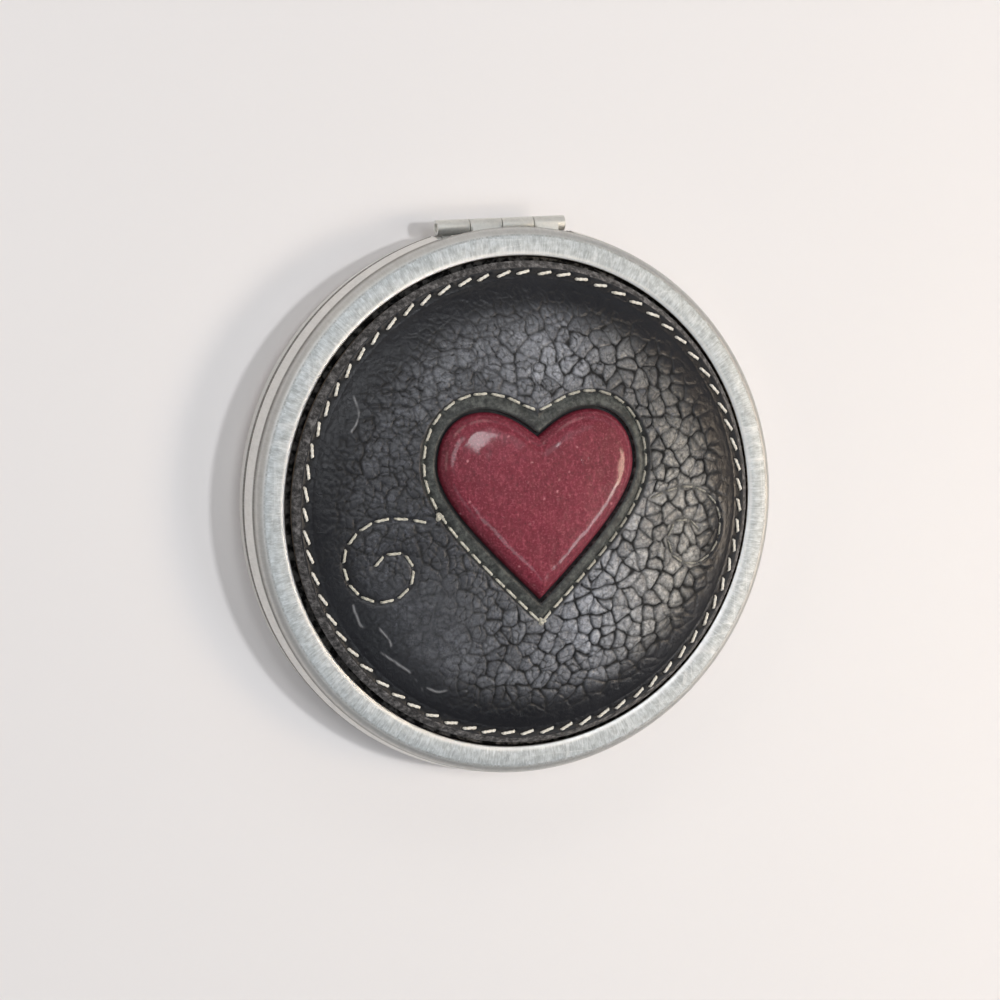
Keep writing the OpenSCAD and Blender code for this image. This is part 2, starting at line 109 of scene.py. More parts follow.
# ---------------------------------------------------------------- node helpers
class Shade:
    """A small helper to build one procedural material."""

    def __init__(self, name):
        self.mat = bpy.data.materials.new(name)
        self.mat.use_nodes = True
        self.t = self.mat.node_tree
        self.t.nodes.clear()
        self.out = self.add("ShaderNodeOutputMaterial")
        self.b = self.add("ShaderNodeBsdfPrincipled")
        self.link(self.b.outputs[0], self.out.inputs["Surface"])
        self.co = self.add("ShaderNodeTexCoord").outputs["Object"]

    def add(self, kind, **props):
        n = self.t.nodes.new(kind)
        for k, v in props.items():
            setattr(n, k, v)
        return n

    def link(self, a, b):
        self.t.links.new(a, b)

    def put(self, socket, value):
        if isinstance(value, bpy.types.NodeSocket):
            self.link(value, socket)
        elif value is not None:
            socket.default_value = value

    def scaled(self, s):
        n = self.add("ShaderNodeMapping")
        self.link(self.co, n.inputs["Vector"])
        n.inputs["Scale"].default_value = s
        return n.outputs[0]

    def polar(self, around, along, shift=0.0):
        """Coordinates for streaks that point at the axis: (direction * around, radius less height * along)."""
        flat = self.add("ShaderNodeVectorMath", operation="MULTIPLY")
        self.link(self.co, flat.inputs[0])
        flat.inputs[1].default_value = (1, 1, 0)
        unit = self.add("ShaderNodeVectorMath", operation="NORMALIZE")
        self.link(flat.outputs[0], unit.inputs[0])
        size = self.add("ShaderNodeVectorMath", operation="LENGTH")
        self.link(flat.outputs[0], size.inputs[0])
        parts = self.add("ShaderNodeSeparateXYZ")
        self.link(unit.outputs[0], parts.inputs[0])
        z = self.add("ShaderNodeSeparateXYZ")
        self.link(self.co, z.inputs[0])
        both = self.add("ShaderNodeCombineXYZ")
        self.put(both.inputs[0], self.math("MULTIPLY", parts.outputs[0], around))
        self.put(both.inputs[1], self.math("MULTIPLY", parts.outputs[1], around))
        run = self.math("SUBTRACT", size.outputs["Value"], z.outputs[2])
        self.put(both.inputs[2], self.math("MULTIPLY_ADD", run, along, shift))
        return both.outputs[0]

    def radius(self):
        flat = self.add("ShaderNodeVectorMath", operation="MULTIPLY")
        self.link(self.co, flat.inputs[0])
        flat.inputs[1].default_value = (1, 1, 0)
        size = self.add("ShaderNodeVectorMath", operation="LENGTH")
        self.link(flat.outputs[0], size.inputs[0])
        return size.outputs["Value"]

    def warped(self, scale, amount):
        """Object coordinates pushed about by a soft noise."""
        n = self.add("ShaderNodeTexNoise")
        self.link(self.co, n.inputs["Vector"])
        n.inputs["Scale"].default_value = scale
        n.inputs["Detail"].default_value = 2.0
        half = self.add("ShaderNodeVectorMath", operation="SUBTRACT")
        self.link(n.outputs["Color"], half.inputs[0])
        half.inputs[1].default_value = (0.5, 0.5, 0.5)
        push = self.add("ShaderNodeVectorMath", operation="SCALE")
        self.link(half.outputs[0], push.inputs[0])
        push.inputs["Scale"].default_value = amount
        total = self.add("ShaderNodeVectorMath", operation="ADD")
        self.link(self.co, total.inputs[0])
        self.link(push.outputs[0], total.inputs[1])
        return total.outputs[0]

    def noise(self, scale, detail=4.0, rough=0.55, vector=None, distort=0.0):
        n = self.add("ShaderNodeTexNoise")
        self.put(n.inputs["Vector"], vector or self.co)
        n.inputs["Scale"].default_value = scale
        n.inputs["Detail"].default_value = detail
        n.inputs["Roughness"].default_value = rough
        n.inputs["Distortion"].default_value = distort
        return n.outputs["Fac"]

    def cells(self, scale, feature="F1", vector=None, rand=1.0):
        n = self.add("ShaderNodeTexVoronoi", feature=feature)
        self.put(n.inputs["Vector"], vector or self.co)
        n.inputs["Scale"].default_value = scale
        n.inputs["Randomness"].default_value = rand
        return n.outputs["Distance"]

    def ramp(self, value, stops, mode="LINEAR"):
        n = self.add("ShaderNodeValToRGB")
        self.link(value, n.inputs[0])
        e = n.color_ramp.elements
        n.color_ramp.interpolation = mode
        while len(e) < len(stops):
            e.new(0.5)
        for i, (pos, col) in enumerate(stops):
            e[i].position = pos
            if not isinstance(col, (tuple, list)):
                col = (col, col, col)
            e[i].color = (*col, 1.0)
        return n.outputs[0]

    def math(self, op, a, b=0.0, c3=None, clamp=False):
        n = self.add("ShaderNodeMath", operation=op, use_clamp=clamp)
        self.put(n.inputs[0], a)
        self.put(n.inputs[1], b)
        if c3 is not None:
            self.put(n.inputs[2], c3)
        return n.outputs[0]

    def mix(self, fac, a, b, blend="MIX"):
        n = self.add("ShaderNodeMix", data_type="RGBA", blend_type=blend)
        self.put(n.inputs[0], fac)
        self.put(n.inputs[6], a if isinstance(a, bpy.types.NodeSocket) else (*a, 1.0))
        self.put(n.inputs[7], b if isinstance(b, bpy.types.NodeSocket) else (*b, 1.0))
        return n.outputs[2]

    def range(self, value, lo, hi, to_lo, to_hi):
        n = self.add("ShaderNodeMapRange")
        self.put(n.inputs[0], value)
        for i, v in enumerate((lo, hi, to_lo, to_hi)):
            n.inputs[i + 1].default_value = v
        return n.outputs[0]

    def bump(self, height, strength, distance, normal=None):
        n = self.add("ShaderNodeBump")
        n.inputs["Strength"].default_value = strength
        n.inputs["Distance"].default_value = distance
        self.put(n.inputs["Height"], height)
        if normal is not None:
            self.link(normal, n.inputs["Normal"])
        return n.outputs[0]

    def attr(self, name):
        return self.add("ShaderNodeAttribute", attribute_name=name).outputs["Fac"]

    def set(self, **values):
        names = {"color": "Base Color", "metal": "Metallic", "rough": "Roughness",
                 "normal": "Normal", "spec": "Specular IOR Level", "coat": "Coat Weight",
                 "coat_rough": "Coat Roughness", "sheen": "Sheen Weight",
                 "sheen_rough": "Sheen Roughness", "aniso": "Anisotropic",
                 "sheen_tint": "Sheen Tint", "spec_tint": "Specular Tint"}
        for k, v in values.items():
            if isinstance(v, tuple) and len(v) == 3:
                v = (*v, 1.0)
            self.put(self.b.inputs[names[k]], v)
        return self.mat


def case_metal():
    """Frosted satin metal with short streaks that point at the axis and a polished inner edge."""
    s = Shade("case_satin")
    streak = s.noise(1.0, 3, 0.6, vector=s.polar(150, 700))
    fleck = s.noise(1.0, 3, 0.65, vector=s.polar(330, 2200, 9.0))
    blotch = s.noise(1150, 3, 0.6)
    broad = s.noise(55, 3, 0.5)
    mixed = s.math("ADD", s.math("MULTIPLY", streak, 0.5), s.math("MULTIPLY", blotch, 0.5))
    col = s.ramp(mixed, [(0.36, (0.47, 0.50, 0.515)), (0.50, (0.60, 0.635, 0.65)),
                         (0.64, (0.74, 0.775, 0.80))])
    col = s.mix(s.range(fleck, 0.56, 0.72, 0.0, 0.6), col, (0.92, 0.95, 0.97))
    a = s.noise(240, 2, 0.4, vector=s.scaled((1.0, 0.08, 1.0)), distort=0.5)
    b = s.noise(240, 2, 0.4, vector=s.scaled((0.08, 1.0, 1.0)), distort=0.5)
    line_a = s.range(s.math("ABSOLUTE", s.math("SUBTRACT", a, 0.5)), 0.0, 0.010, 1.0, 0.0)
    line_b = s.range(s.math("ABSOLUTE", s.math("SUBTRACT", b, 0.5)), 0.0, 0.010, 1.0, 0.0)
    scuff = s.math("MULTIPLY", s.math("MAXIMUM", line_a, line_b), s.range(broad, 0.42, 0.62, 0.0, 1.0))
    col = s.mix(s.math("MULTIPLY", scuff, 0.45), col, (0.95, 0.955, 0.96))
    high = s.add("ShaderNodeSeparateXYZ")
    s.link(s.co, high.inputs[0])
    low = s.range(high.outputs[2], GROOVE_Z * MM, (GROOVE_Z + 0.3) * MM, 1.0, 0.0)
    col = s.mix(s.math("MULTIPLY", low, 0.75), col, (0.93, 0.90, 0.86))
    r = s.radius()
    edge = s.math("MULTIPLY", s.range(r, (RING_R - 0.1) * MM, (RING_R + 0.05) * MM, 0.0, 1.0),
                  s.range(r, (RING_R + 0.42) * MM, (RING_R + 0.75) * MM, 1.0, 0.0))
    col = s.mix(s.math("MULTIPLY", edge, 0.7), col, (0.86, 0.85, 0.835))
    rough = s.math("ADD", s.range(mixed, 0.34, 0.66, 0.68, 0.56), s.math("MULTIPLY", scuff, 0.04))
    rough = s.math("SUBTRACT", rough, s.math("MULTIPLY", edge, 0.20))
    # painted shade in the recess round the panel, in the split and in the groove
    z = high.outputs[2]
    recess_shade = s.math("MULTIPLY", s.range(r, (RING_R + 0.02) * MM, (RING_R + 0.10) * MM, 1.0, 0.0),
                    s.range(z, (SEAT_Z - 0.12) * MM, (SEAT_Z - 0.08) * MM, 0.0, 1.0))
    wall = s.range(r, (R - 0.26) * MM, (R - 0.18) * MM, 0.0, 1.0)
    split = s.math("MULTIPLY", wall, s.math("MULTIPLY", s.range(z, (BASE_H - 1.15) * MM, (BASE_H - 0.70) * MM, 0.0, 1.0),
                                            s.range(z, (LID_Z + 0.02) * MM, (LID_Z + 0.15) * MM, 1.0, 0.0)))
    rim = s.range(r, (LID_R - 0.45) * MM, (LID_R - 0.30) * MM, 0.0, 1.0)
    groove = s.math("MULTIPLY", rim, s.math("MULTIPLY", s.range(z, (GROOVE_Z - 0.30) * MM, (GROOVE_Z - 0.12) * MM, 0.0, 1.0),
                                            s.range(z, (GROOVE_Z + 0.40) * MM, (GROOVE_Z + 0.95) * MM, 1.0, 0.0)))
    line = s.math("MAXIMUM", split, groove)
    line = s.math("MULTIPLY", line, s.range(streak, 0.30, 0.55, 0.70, 0.95))
    above = s.range(z, (GROOVE_Z + 0.05) * MM, (GROOVE_Z + 0.15) * MM, 0.0, 1.0)
    smooth = s.math("MULTIPLY", above, s.range(r, (LID_R - 1.20) * MM, (LID_R - 0.95) * MM, 0.0, 1.0))
    col = s.mix(s.math("MULTIPLY", smooth, 0.75), col, (0.70, 0.685, 0.655))
    rough = s.math("SUBTRACT", rough, s.math("MULTIPLY", smooth, 0.10))
    fret = s.math("MULTIPLY", s.range(r, (LID_R - 1.30) * MM, (LID_R - 1.16) * MM, 0.0, 1.0),
                  s.range(r, (LID_R - 1.08) * MM, (LID_R - 0.96) * MM, 1.0, 0.0))
    fret = s.math("MULTIPLY", s.math("MULTIPLY", fret, above), s.range(streak, 0.42, 0.60, 0.0, 0.55))
    col = s.mix(fret, col, (0.26, 0.25, 0.24))
    # painted shade: the split between the halves and the groove under the ring's shoulder made dark
    col = s.mix(line, col, (0.24, 0.228, 0.21))
    recess_shade_col = s.ramp(blotch, [(0.44, (0.012, 0.012, 0.012)), (0.60, (0.15, 0.145, 0.14))])
    # painted shade: the recess round the panel made near black
    col = s.mix(recess_shade, col, recess_shade_col)
    n = s.bump(streak, 0.35, 0.00005)
    n = s.bump(fleck, 0.35, 0.00003, n)
    n = s.bump(blotch, 0.25, 0.00003, n)
    n = s.bump(scuff, 0.30, -0.00003, n)
    return s.set(color=col, metal=1.0, rough=rough, normal=n)


def satin_metal(name, tint, dark, rough=0.32, grain=1.0):
    s = Shade(name)
    fine = s.noise(2600, 3, 0.6)
    blotch = s.noise(420, 4, 0.6)
    broad = s.noise(70, 3, 0.5)
    mixed = s.math("ADD", s.math("MULTIPLY", fine, 0.45), s.math("MULTIPLY", blotch, 0.55))
    col = s.ramp(mixed, [(0.34, dark), (0.62, tint)])
    a = s.noise(260, 2, 0.4, vector=s.scaled((1.0, 0.10, 1.0)), distort=0.4)
    line = s.range(s.math("ABSOLUTE", s.math("SUBTRACT", a, 0.5)), 0.0, 0.012, 1.0, 0.0)
    scuff = s.math("MULTIPLY", line, s.range(broad, 0.45, 0.65, 0.0, 1.0))
    col = s.mix(s.math("MULTIPLY", scuff, 0.35), col, (0.92, 0.93, 0.94))
    r = s.math("ADD", s.range(mixed, 0.3, 0.7, rough - 0.07, rough + 0.09),
               s.math("MULTIPLY", scuff, 0.12))
    n = s.bump(fine, 0.22 * grain, 0.00003)
    n = s.bump(blotch, 0.25 * grain, 0.00009, n)
    n = s.bump(scuff, 0.25, -0.00002, n)
    return s.set(color=col, metal=1.0, rough=r, normal=n)


def spun_metal():
    """Bezel metal with the fine turned lines of a lathe."""
    s = Shade("bezel_spun")
    r = s.radius()
    rings = s.noise(1.0, 2, 0.6, vector=s.polar(1.2, 9000))
    blotch = s.noise(150, 4, 0.6)
    col = s.ramp(rings, [(0.35, (0.58, 0.59, 0.61)), (0.65, (0.80, 0.81, 0.83))])
    col = s.mix(s.range(blotch, 0.4, 0.7, 0.0, 0.25), col, (0.72, 0.71, 0.69))
    return s.set(color=col, metal=1.0, rough=s.range(blotch, 0.3, 0.7, 0.20, 0.32),
                 normal=s.bump(rings, 0.35, 0.00003), aniso=0.4)


def mirror_silver():
    s = Shade("silvered_glass")
    haze = s.noise(60, 5, 0.6)
    dust = s.cells(900)
    spots = s.range(dust, 0.0, 0.05, 1.0, 0.0)
    col = s.mix(s.math("MULTIPLY", s.range(haze, 0.4, 0.75, 0.0, 1.0), 0.08),
                (0.93, 0.95, 0.955), (0.86, 0.88, 0.89))
    r = s.math("ADD", s.range(haze, 0.45, 0.8, 0.008, 0.05), s.math("MULTIPLY", spots, 0.08))
    return s.set(color=col, metal=1.0, rough=r, normal=s.bump(haze, 0.01, 0.00001))


def glass_edge():
    """The ground, greenish rim of the glass."""
    s = Shade("ground_glass_edge")
    n = s.noise(2200, 3, 0.6)
    return s.set(color=s.ramp(n, [(0.3, (0.34, 0.44, 0.42)), (0.7, (0.52, 0.62, 0.59))]),
                 rough=s.range(n, 0.3, 0.7, 0.35, 0.6), normal=s.bump(n, 0.3, 0.00004))


def soft_foam(name, a, b, scale):
    s = Shade(name)
    p = s.cells(scale)
    n = s.noise(scale * 0.4, 4)
    return s.set(color=s.ramp(n, [(0.35, a), (0.65, b)]), rough=s.range(n, 0.3, 0.7, 0.75, 0.95),
                 normal=s.bump(p, 0.5, 0.0001))


def fibre_board():
    s = Shade("fibre_board")
    n = s.noise(900, 5, 0.7)
    f = s.noise(300, 3, 0.6, vector=s.scaled((1, 1, 6)))
    return s.set(color=s.ramp(n, [(0.3, (0.12, 0.09, 0.06)), (0.7, (0.26, 0.20, 0.14))]),
                 rough=s.range(n, 0.3, 0.7, 0.75, 0.95), normal=s.bump(f, 0.5, 0.00008))


def black_leather():
    s = Shade("black_leather")
    crease = s.attr("crease")       # 1 in the creases between the pebbles, where painted shade darkens the leather
    pressed = s.attr("pressed")     # 1 where the leather is pressed flat
    worn = s.attr("worn")           # 1 along pale, cracked fold lines
    painted_sheen = s.attr("painted_sheen")       # how far the pebbles' tops are painted paler as highlight
    tone = s.noise(110, 4, 0.6)
    pores = s.cells(3300)
    wrinkle = s.noise(1500, 4, 0.65, distort=0.6)
    micro = s.noise(5600, 3, 0.6)
    speck = s.noise(1900, 4, 0.7)
    body = s.mix(s.range(tone, 0.35, 0.7, 0.0, 1.0), (0.0038, 0.0039, 0.0065), (0.0062, 0.0062, 0.0095))
    # painted highlight colours for the pebble tops, warmer towards the right where the warm lamp falls
    sheen_col = s.mix(s.range(speck, 0.35, 0.65, 0.0, 1.0), (0.165, 0.172, 0.192), (0.420, 0.432, 0.470))
    place = s.add("ShaderNodeSeparateXYZ")
    s.link(s.co, place.inputs[0])
    warm = s.mix(s.range(speck, 0.35, 0.65, 0.0, 1.0), (0.190, 0.180, 0.160), (0.480, 0.455, 0.400))
    sheen_col = s.mix(s.range(place.outputs[0], 0.006, 0.018, 0.0, 0.8), sheen_col, warm)
    # painted highlight on the pebble tops
    body = s.mix(painted_sheen, body, sheen_col)
    crackle = s.cells(1500, "DISTANCE_TO_EDGE", vector=s.warped(500, 0.0006))
    crackle = s.range(crackle, 0.0, 0.075, 1.0, 0.0)
    crackle = s.math("MULTIPLY", crackle, s.range(s.noise(700, 3, 0.6), 0.42, 0.62, 0.15, 0.85))
    bloom = s.range(s.noise(1250, 6, 0.8, distort=0.8), 0.50, 0.63, 0.0, 1.0)
    bloom = s.math("MULTIPLY", bloom, s.range(s.noise(190, 3, 0.6), 0.40, 0.62, 0.12, 0.62))
    bloom = s.math("MULTIPLY", bloom, s.attr("free"))
    body = s.mix(bloom, body, (0.130, 0.136, 0.165))
    body = s.mix(s.math("MULTIPLY", crackle, 0.65), body, (0.004, 0.004, 0.005))
    # painted shade: creases, seams and the heart's cut-out made near black
    body = s.mix(s.math("MULTIPLY", crease, 0.95), body, (0.002, 0.002, 0.002))
    mottle = s.math("ADD", s.math("MULTIPLY", speck, 0.5), s.math("MULTIPLY", s.noise(620, 4, 0.65), 0.5))
    grey = s.ramp(mottle, [(0.38, (0.008, 0.009, 0.009)), (0.48, (0.034, 0.037, 0.034)),
                           (0.60, (0.100, 0.106, 0.096))])
    body = s.mix(s.math("MULTIPLY", pressed, 0.9), body, grey)
    body = s.mix(worn, body, (0.30, 0.30, 0.31))
    r = s.math("ADD", s.range(tone, 0.3, 0.7, 0.29, 0.37), s.math("MULTIPLY", crease, 0.45))
    r = s.math("ADD", r, s.math("MULTIPLY", pressed, 0.16), clamp=True)
    n = s.bump(micro, 0.14, 0.00004)
    n = s.bump(pores, 0.16, 0.00006, n)
    n = s.bump(wrinkle, 0.20, 0.00012, n)
    n = s.bump(crackle, 0.22, -0.00008, n)
    return s.set(color=body, rough=r, normal=n, spec=0.52)


def cut_edge():
    s = Shade("leather_cut_edge")
    f = s.noise(1500, 5, 0.75, vector=s.scaled((1, 1, 0.35)))
    return s.set(color=s.ramp(f, [(0.36, (0.010, 0.010, 0.010)), (0.50, (0.080, 0.074, 0.072)),
                                  (0.66, (0.27, 0.255, 0.25))]),
                 rough=s.range(f, 0.3, 0.7, 0.7, 0.95), normal=s.bump(f, 0.7, 0.00012))


def red_leather():
    s = Shade("burgundy_leather")
    tone = s.noise(160, 4, 0.6)
    hair = s.noise(1.0, 3, 0.6, vector=s.scaled((2300, 900, 2300)))
    cell = s.cells(520)
    pit = s.noise(1500, 3, 0.6)
    speck = s.cells(620)
    dots = s.range(speck, 0.0, 0.16, 1.0, 0.0)
    body = s.mix(s.range(tone, 0.35, 0.7, 0.0, 1.0), (0.135, 0.005, 0.017), (0.190, 0.010, 0.029))
    body = s.mix(s.range(hair, 0.50, 0.68, 0.0, 0.42), body, (0.34, 0.048, 0.082))
    fine = s.noise(3300, 3, 0.7)
    body = s.mix(s.range(fine, 0.54, 0.66, 0.0, 0.42), body, (0.44, 0.10, 0.135))
    body = s.mix(s.range(fine, 0.34, 0.46, 0.55, 0.0), body, (0.055, 0.002, 0.006))
    # painted glints: small pale pink dots on the heart's coat
    body = s.mix(s.math("MULTIPLY", dots, s.range(pit, 0.46, 0.58, 0.0, 0.8)), body, (0.70, 0.30, 0.33))
    n = s.bump(tone, 0.30, 0.00040)
    n = s.bump(cell, 0.44, 0.00022, n)
    n = s.bump(hair, 0.34, 0.00008, n)
    n = s.bump(pit, 0.55, 0.00010, n)
    return s.set(color=body, rough=s.range(pit, 0.3, 0.7, 0.42, 0.60), normal=n, spec=0.5,
                 coat=0.65, coat_rough=0.12)


def thread(name, low, high, soil=0.0):
    s = Shade(name)
    n = s.noise(2400, 4, 0.6)
    f = s.noise(1200, 3, 0.6)
    col = s.ramp(n, [(0.3, low), (0.6, high)])
    if soil:
        place = s.add("ShaderNodeSeparateXYZ")
        s.link(s.co, place.inputs[0])
        col = s.mix(s.range(place.outputs[0], 0.002, 0.009, 0.0, soil), col, (0.15, 0.14, 0.115))
    return s.set(color=col,
                 rough=s.range(f, 0.3, 0.7, 0.5, 0.75), normal=s.bump(n, 0.5, 0.00004),
                 sheen=0.2, sheen_rough=0.5)


M_CASE = case_metal()
M_BEZEL = spun_metal()
M_HINGE = satin_metal("hinge_nickel", (0.86, 0.855, 0.82), (0.74, 0.735, 0.70), 0.60, 0.5)
M_MAGNET = satin_metal("magnet_nickel", (0.66, 0.66, 0.68), (0.48, 0.48, 0.50), 0.2, 0.5)
M_MIRROR, M_GLASS_EDGE = mirror_silver(), glass_edge()
M_TAPE = soft_foam("foam_tape", (0.05, 0.05, 0.055), (0.09, 0.09, 0.10), 1500)
# painted shade: the padding made near black so the gap round the heart reads dark
M_PAD_SHADE = soft_foam("wadding_painted_shade", (0.012, 0.012, 0.013), (0.035, 0.035, 0.038), 1200)
M_FILM = soft_foam("adhesive_film", (0.66, 0.60, 0.45), (0.74, 0.70, 0.56), 600)
M_BOARD = fibre_board()
M_LEATHER, M_EDGE, M_RED = black_leather(), cut_edge(), red_leather()
M_THREAD = thread("cream_thread", (0.56, 0.51, 0.42), (0.84, 0.80, 0.72))
M_FINE = thread("cream_thread_worn", (0.34, 0.32, 0.26), (0.62, 0.59, 0.50), 0.6)
M_DULL = thread("cream_thread_dull", (0.10, 0.095, 0.080), (0.34, 0.32, 0.27))


# ---------------------------------------------------------------- mesh helpers
def make(name, verts_mm, faces, mats, body, replaces=(), smooth=True, face_mats=None):
    me = bpy.data.meshes.new(name)
    me.from_pydata((np.asarray(verts_mm, float) * MM).tolist(), [], faces)
    ob = bpy.data.objects.new(name, me)
    bpy.context.scene.collection.objects.link(ob)
    for m in (mats if isinstance(mats, (list, tuple)) else [mats]):
        me.materials.append(m)
    if face_mats is not None:
        me.polygons.foreach_set("material_index", np.asarray(face_mats, np.int32))
    me.polygons.foreach_set("use_smooth", np.full(len(me.polygons), smooth))
    me.validate()
    me.update()
    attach(ob, body)
    if replaces:
        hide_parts(*replaces)
    return ob


def set_attr(ob, name, values):
    a = ob.data.attributes.new(name, "FLOAT", "POINT")
    a.data.foreach_set("value", np.asarray(values, np.float32))


def round_profile(points, radii, n=5):
    """A closed profile with its corners rounded. points is [(r, z)], radii one per point."""
    out = []
    m = len(points)
    P = [np.array(p, float) for p in points]
    for i in range(m):
        p, a, b = P[i], P[i - 1], P[(i + 1) % m]
        rad = radii[i]
        if rad <= 0:
            out.append(tuple(p))
            continue
        u, v = a - p, b - p
        lu, lv = np.linalg.norm(u), np.linalg.norm(v)
        u, v = u / lu, v / lv
        d = min(rad, 0.48 * lu, 0.48 * lv)
        for k in range(n + 1):
            t = k / n
            q = (1 - t) ** 2 * (p + u * d) + 2 * t * (1 - t) * p + t * t * (p + v * d)
            out.append(tuple(q))
    return out


def catmull(p, n=10):
    p = np.array(p, float)
    out = []
    for i in range(len(p) - 1):
        a, b, c_, d = p[max(i - 1, 0)], p[i], p[i + 1], p[min(i + 2, len(p) - 1)]
        for j in range(n):
            t = j / n
            out.append(0.5 * (2 * b + (c_ - a) * t + (2 * a - 5 * b + 4 * c_ - d) * t * t
                              + (3 * b - a - 3 * c_ + d) * t ** 3))
    return np.array(out + [p[-1]])


def take_away(ob, tool):
    mod = ob.modifiers.new("cut", "BOOLEAN")
    mod.operation, mod.object, mod.solver = "DIFFERENCE", tool, "EXACT"
    new = bpy.data.meshes.new_from_object(ob.evaluated_get(bpy.context.evaluated_depsgraph_get()))
    ob.modifiers.clear()
    old = ob.data
    ob.data = new
    bpy.data.objects.remove(tool)
    bpy.data.meshes.remove(old)


def lathe(name, profile, mats, body, replaces=(), seg=360, boxes=(), rounds=(), second=None,
          sharp=38):
    """Revolves a closed profile; points on the axis share one vertex.
    boxes and rounds are taken away; second(r, z) says which faces get the second material."""
    prof = [(max(r, 0.0), z) for r, z in profile]
    ring = []
    verts = []
    ang = np.linspace(0, 2 * np.pi, seg, endpoint=False)
    for r, z in prof:
        if r < 1e-6:
            ring.append([len(verts)] * seg)
            verts.append((0, 0, z))
        else:
            base = len(verts)
            ring.append(list(range(base, base + seg)))
            verts.extend(zip(r * np.cos(ang), r * np.sin(ang), np.full(seg, z)))
    faces, kinds = [], []
    m = len(prof)
    for i in range(m):
        a, b = ring[i], ring[(i + 1) % m]
        mid = ((prof[i][0] + prof[(i + 1) % m][0]) / 2, (prof[i][1] + prof[(i + 1) % m][1]) / 2)
        kind = int(bool(second and second(*mid)))
        for j in range(seg):
            k = (j + 1) % seg
            f = [a[j], a[k], b[k], b[j]]
            f = [x for n_, x in enumerate(f) if x not in f[:n_]]
            if len(f) > 2:
                faces.append(f)
                kinds.append(kind)
    ob = make(name, verts, faces, mats, body, replaces, face_mats=kinds)
    bm = bmesh.new()
    bm.from_mesh(ob.data)
    bmesh.ops.recalc_face_normals(bm, faces=bm.faces)
    bm.to_mesh(ob.data)
    bm.free()
    for lo, hi in boxes:
        bpy.ops.mesh.primitive_cube_add(size=1)
        tool = bpy.context.object
        tool.data.transform(Matrix.Diagonal((*[(h - l) * MM for l, h in zip(lo, hi)], 1)))
        tool.data.transform(Matrix.Translation([(h + l) / 2 * MM for l, h in zip(lo, hi)]))
        take_away(ob, tool)
    for x, y, z0, z1, rad in rounds:
        bpy.ops.mesh.primitive_cylinder_add(vertices=48, radius=rad * MM, depth=(z1 - z0) * MM)
        tool = bpy.context.object
        tool.data.transform(Matrix.Translation((x * MM, y * MM, (z0 + z1) / 2 * MM)))
        take_away(ob, tool)
    ob.data.set_sharp_from_angle(angle=math.radians(sharp))
    return ob


def bevelled(node, name, width, mats, body, angle=30, segments=3):
    """A copy of a CAD node with its edges softened."""
    src = nodes[node]
    me = src.data.copy()
    ob = bpy.data.objects.new(name, me)
    bpy.context.scene.collection.objects.link(ob)
    bm = bmesh.new()
    bm.from_mesh(me)
    bmesh.ops.remove_doubles(bm, verts=bm.verts, dist=2e-6)
    bmesh.ops.dissolve_limit(bm, angle_limit=math.radians(1.5), verts=bm.verts, edges=bm.edges)
    edges = [e for e in bm.edges if len(e.link_faces) == 2
             and e.calc_face_angle(0) > math.radians(angle)]
    bmesh.ops.bevel(bm, geom=edges, offset=width * MM, segments=segments, profile=0.5,
                    affect="EDGES", clamp_overlap=True)
    bm.to_mesh(me)
    bm.free()
    me.materials.clear()
    me.materials.append(mats)
    me.polygons.foreach_set("use_smooth", np.full(len(me.polygons), True))
    me.set_sharp_from_angle(angle=math.radians(32))
    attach(ob, body)
    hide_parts(node)
    return ob


# ---------------------------------------------------------------- outline of the heart, seams and curls
HEART = [
    [(0, 8.9), (1.3, 9.9), (3.8, 12.05), (6.9, 12.05)],
    [(6.9, 12.05), (10.5, 12.05), (12.95, 9.3), (12.95, 5.4)],
    [(12.95, 5.4), (12.95, 1.2), (8.2, -3.6), (0, -11.75)]]


def bez(k, t):
    k = np.array(k, float)
    t = np.asarray(t)[:, None]
    return (1 - t) ** 3 * k[0] + 3 * t * (1 - t) ** 2 * k[1] + 3 * t * t * (1 - t) * k[2] + t ** 3 * k[3]


def turned(p, a, dx=0.0):
    p = np.asarray(p, float)
    return np.stack([p[..., 0] * math.cos(a) - p[..., 1] * math.sin(a) + dx,
                     p[..., 0] * math.sin(a) + p[..., 1] * math.cos(a)], -1)


def smooth_path(p, times=1):
    p = np.asarray(p, float)
    for _ in range(times):
        q = p.copy()
        q[1:-1] = 0.25 * p[:-2] + 0.5 * p[1:-1] + 0.25 * p[2:]
        p = q
    return p


def resample(p, n):
    d = np.r_[0, np.cumsum(np.linalg.norm(np.diff(p, axis=0), axis=1))]
    s = np.linspace(0, d[-1], n)
    return np.stack([np.interp(s, d, p[:, 0]), np.interp(s, d, p[:, 1])], -1)


heart_right = np.concatenate([bez(k, np.linspace(0, 1, 40, endpoint=False)) for k in HEART]
                             + [np.array([[0, -11.75]])])
heart_loop = np.concatenate([heart_right, (heart_right * [-1, 1])[-2:0:-1]])


def outward(p):
    d = np.gradient(p, axis=0)
    d /= np.linalg.norm(d, axis=1)[:, None]
    return np.stack([-d[:, 1], d[:, 0]], -1)


def grown_loop(grow):
    """The whole outline moved outwards (or inwards), with its notch and tip kept sharp."""
    u = outward(heart_right)
    q = heart_right + grow * u
    q = q[(q[:, 0] > 0.05) & (np.arange(len(q)) > 0)]
    top = [0.0, q[0, 1] - 0.75 * q[0, 0]]
    tip = [0.0, -11.75 - grow / math.sin(math.radians(44.5))]
    half = np.concatenate([[top], q[:-1] if grow < 0 else q, [tip]])
    return np.concatenate([half, (half * [-1, 1])[-2:0:-1]])


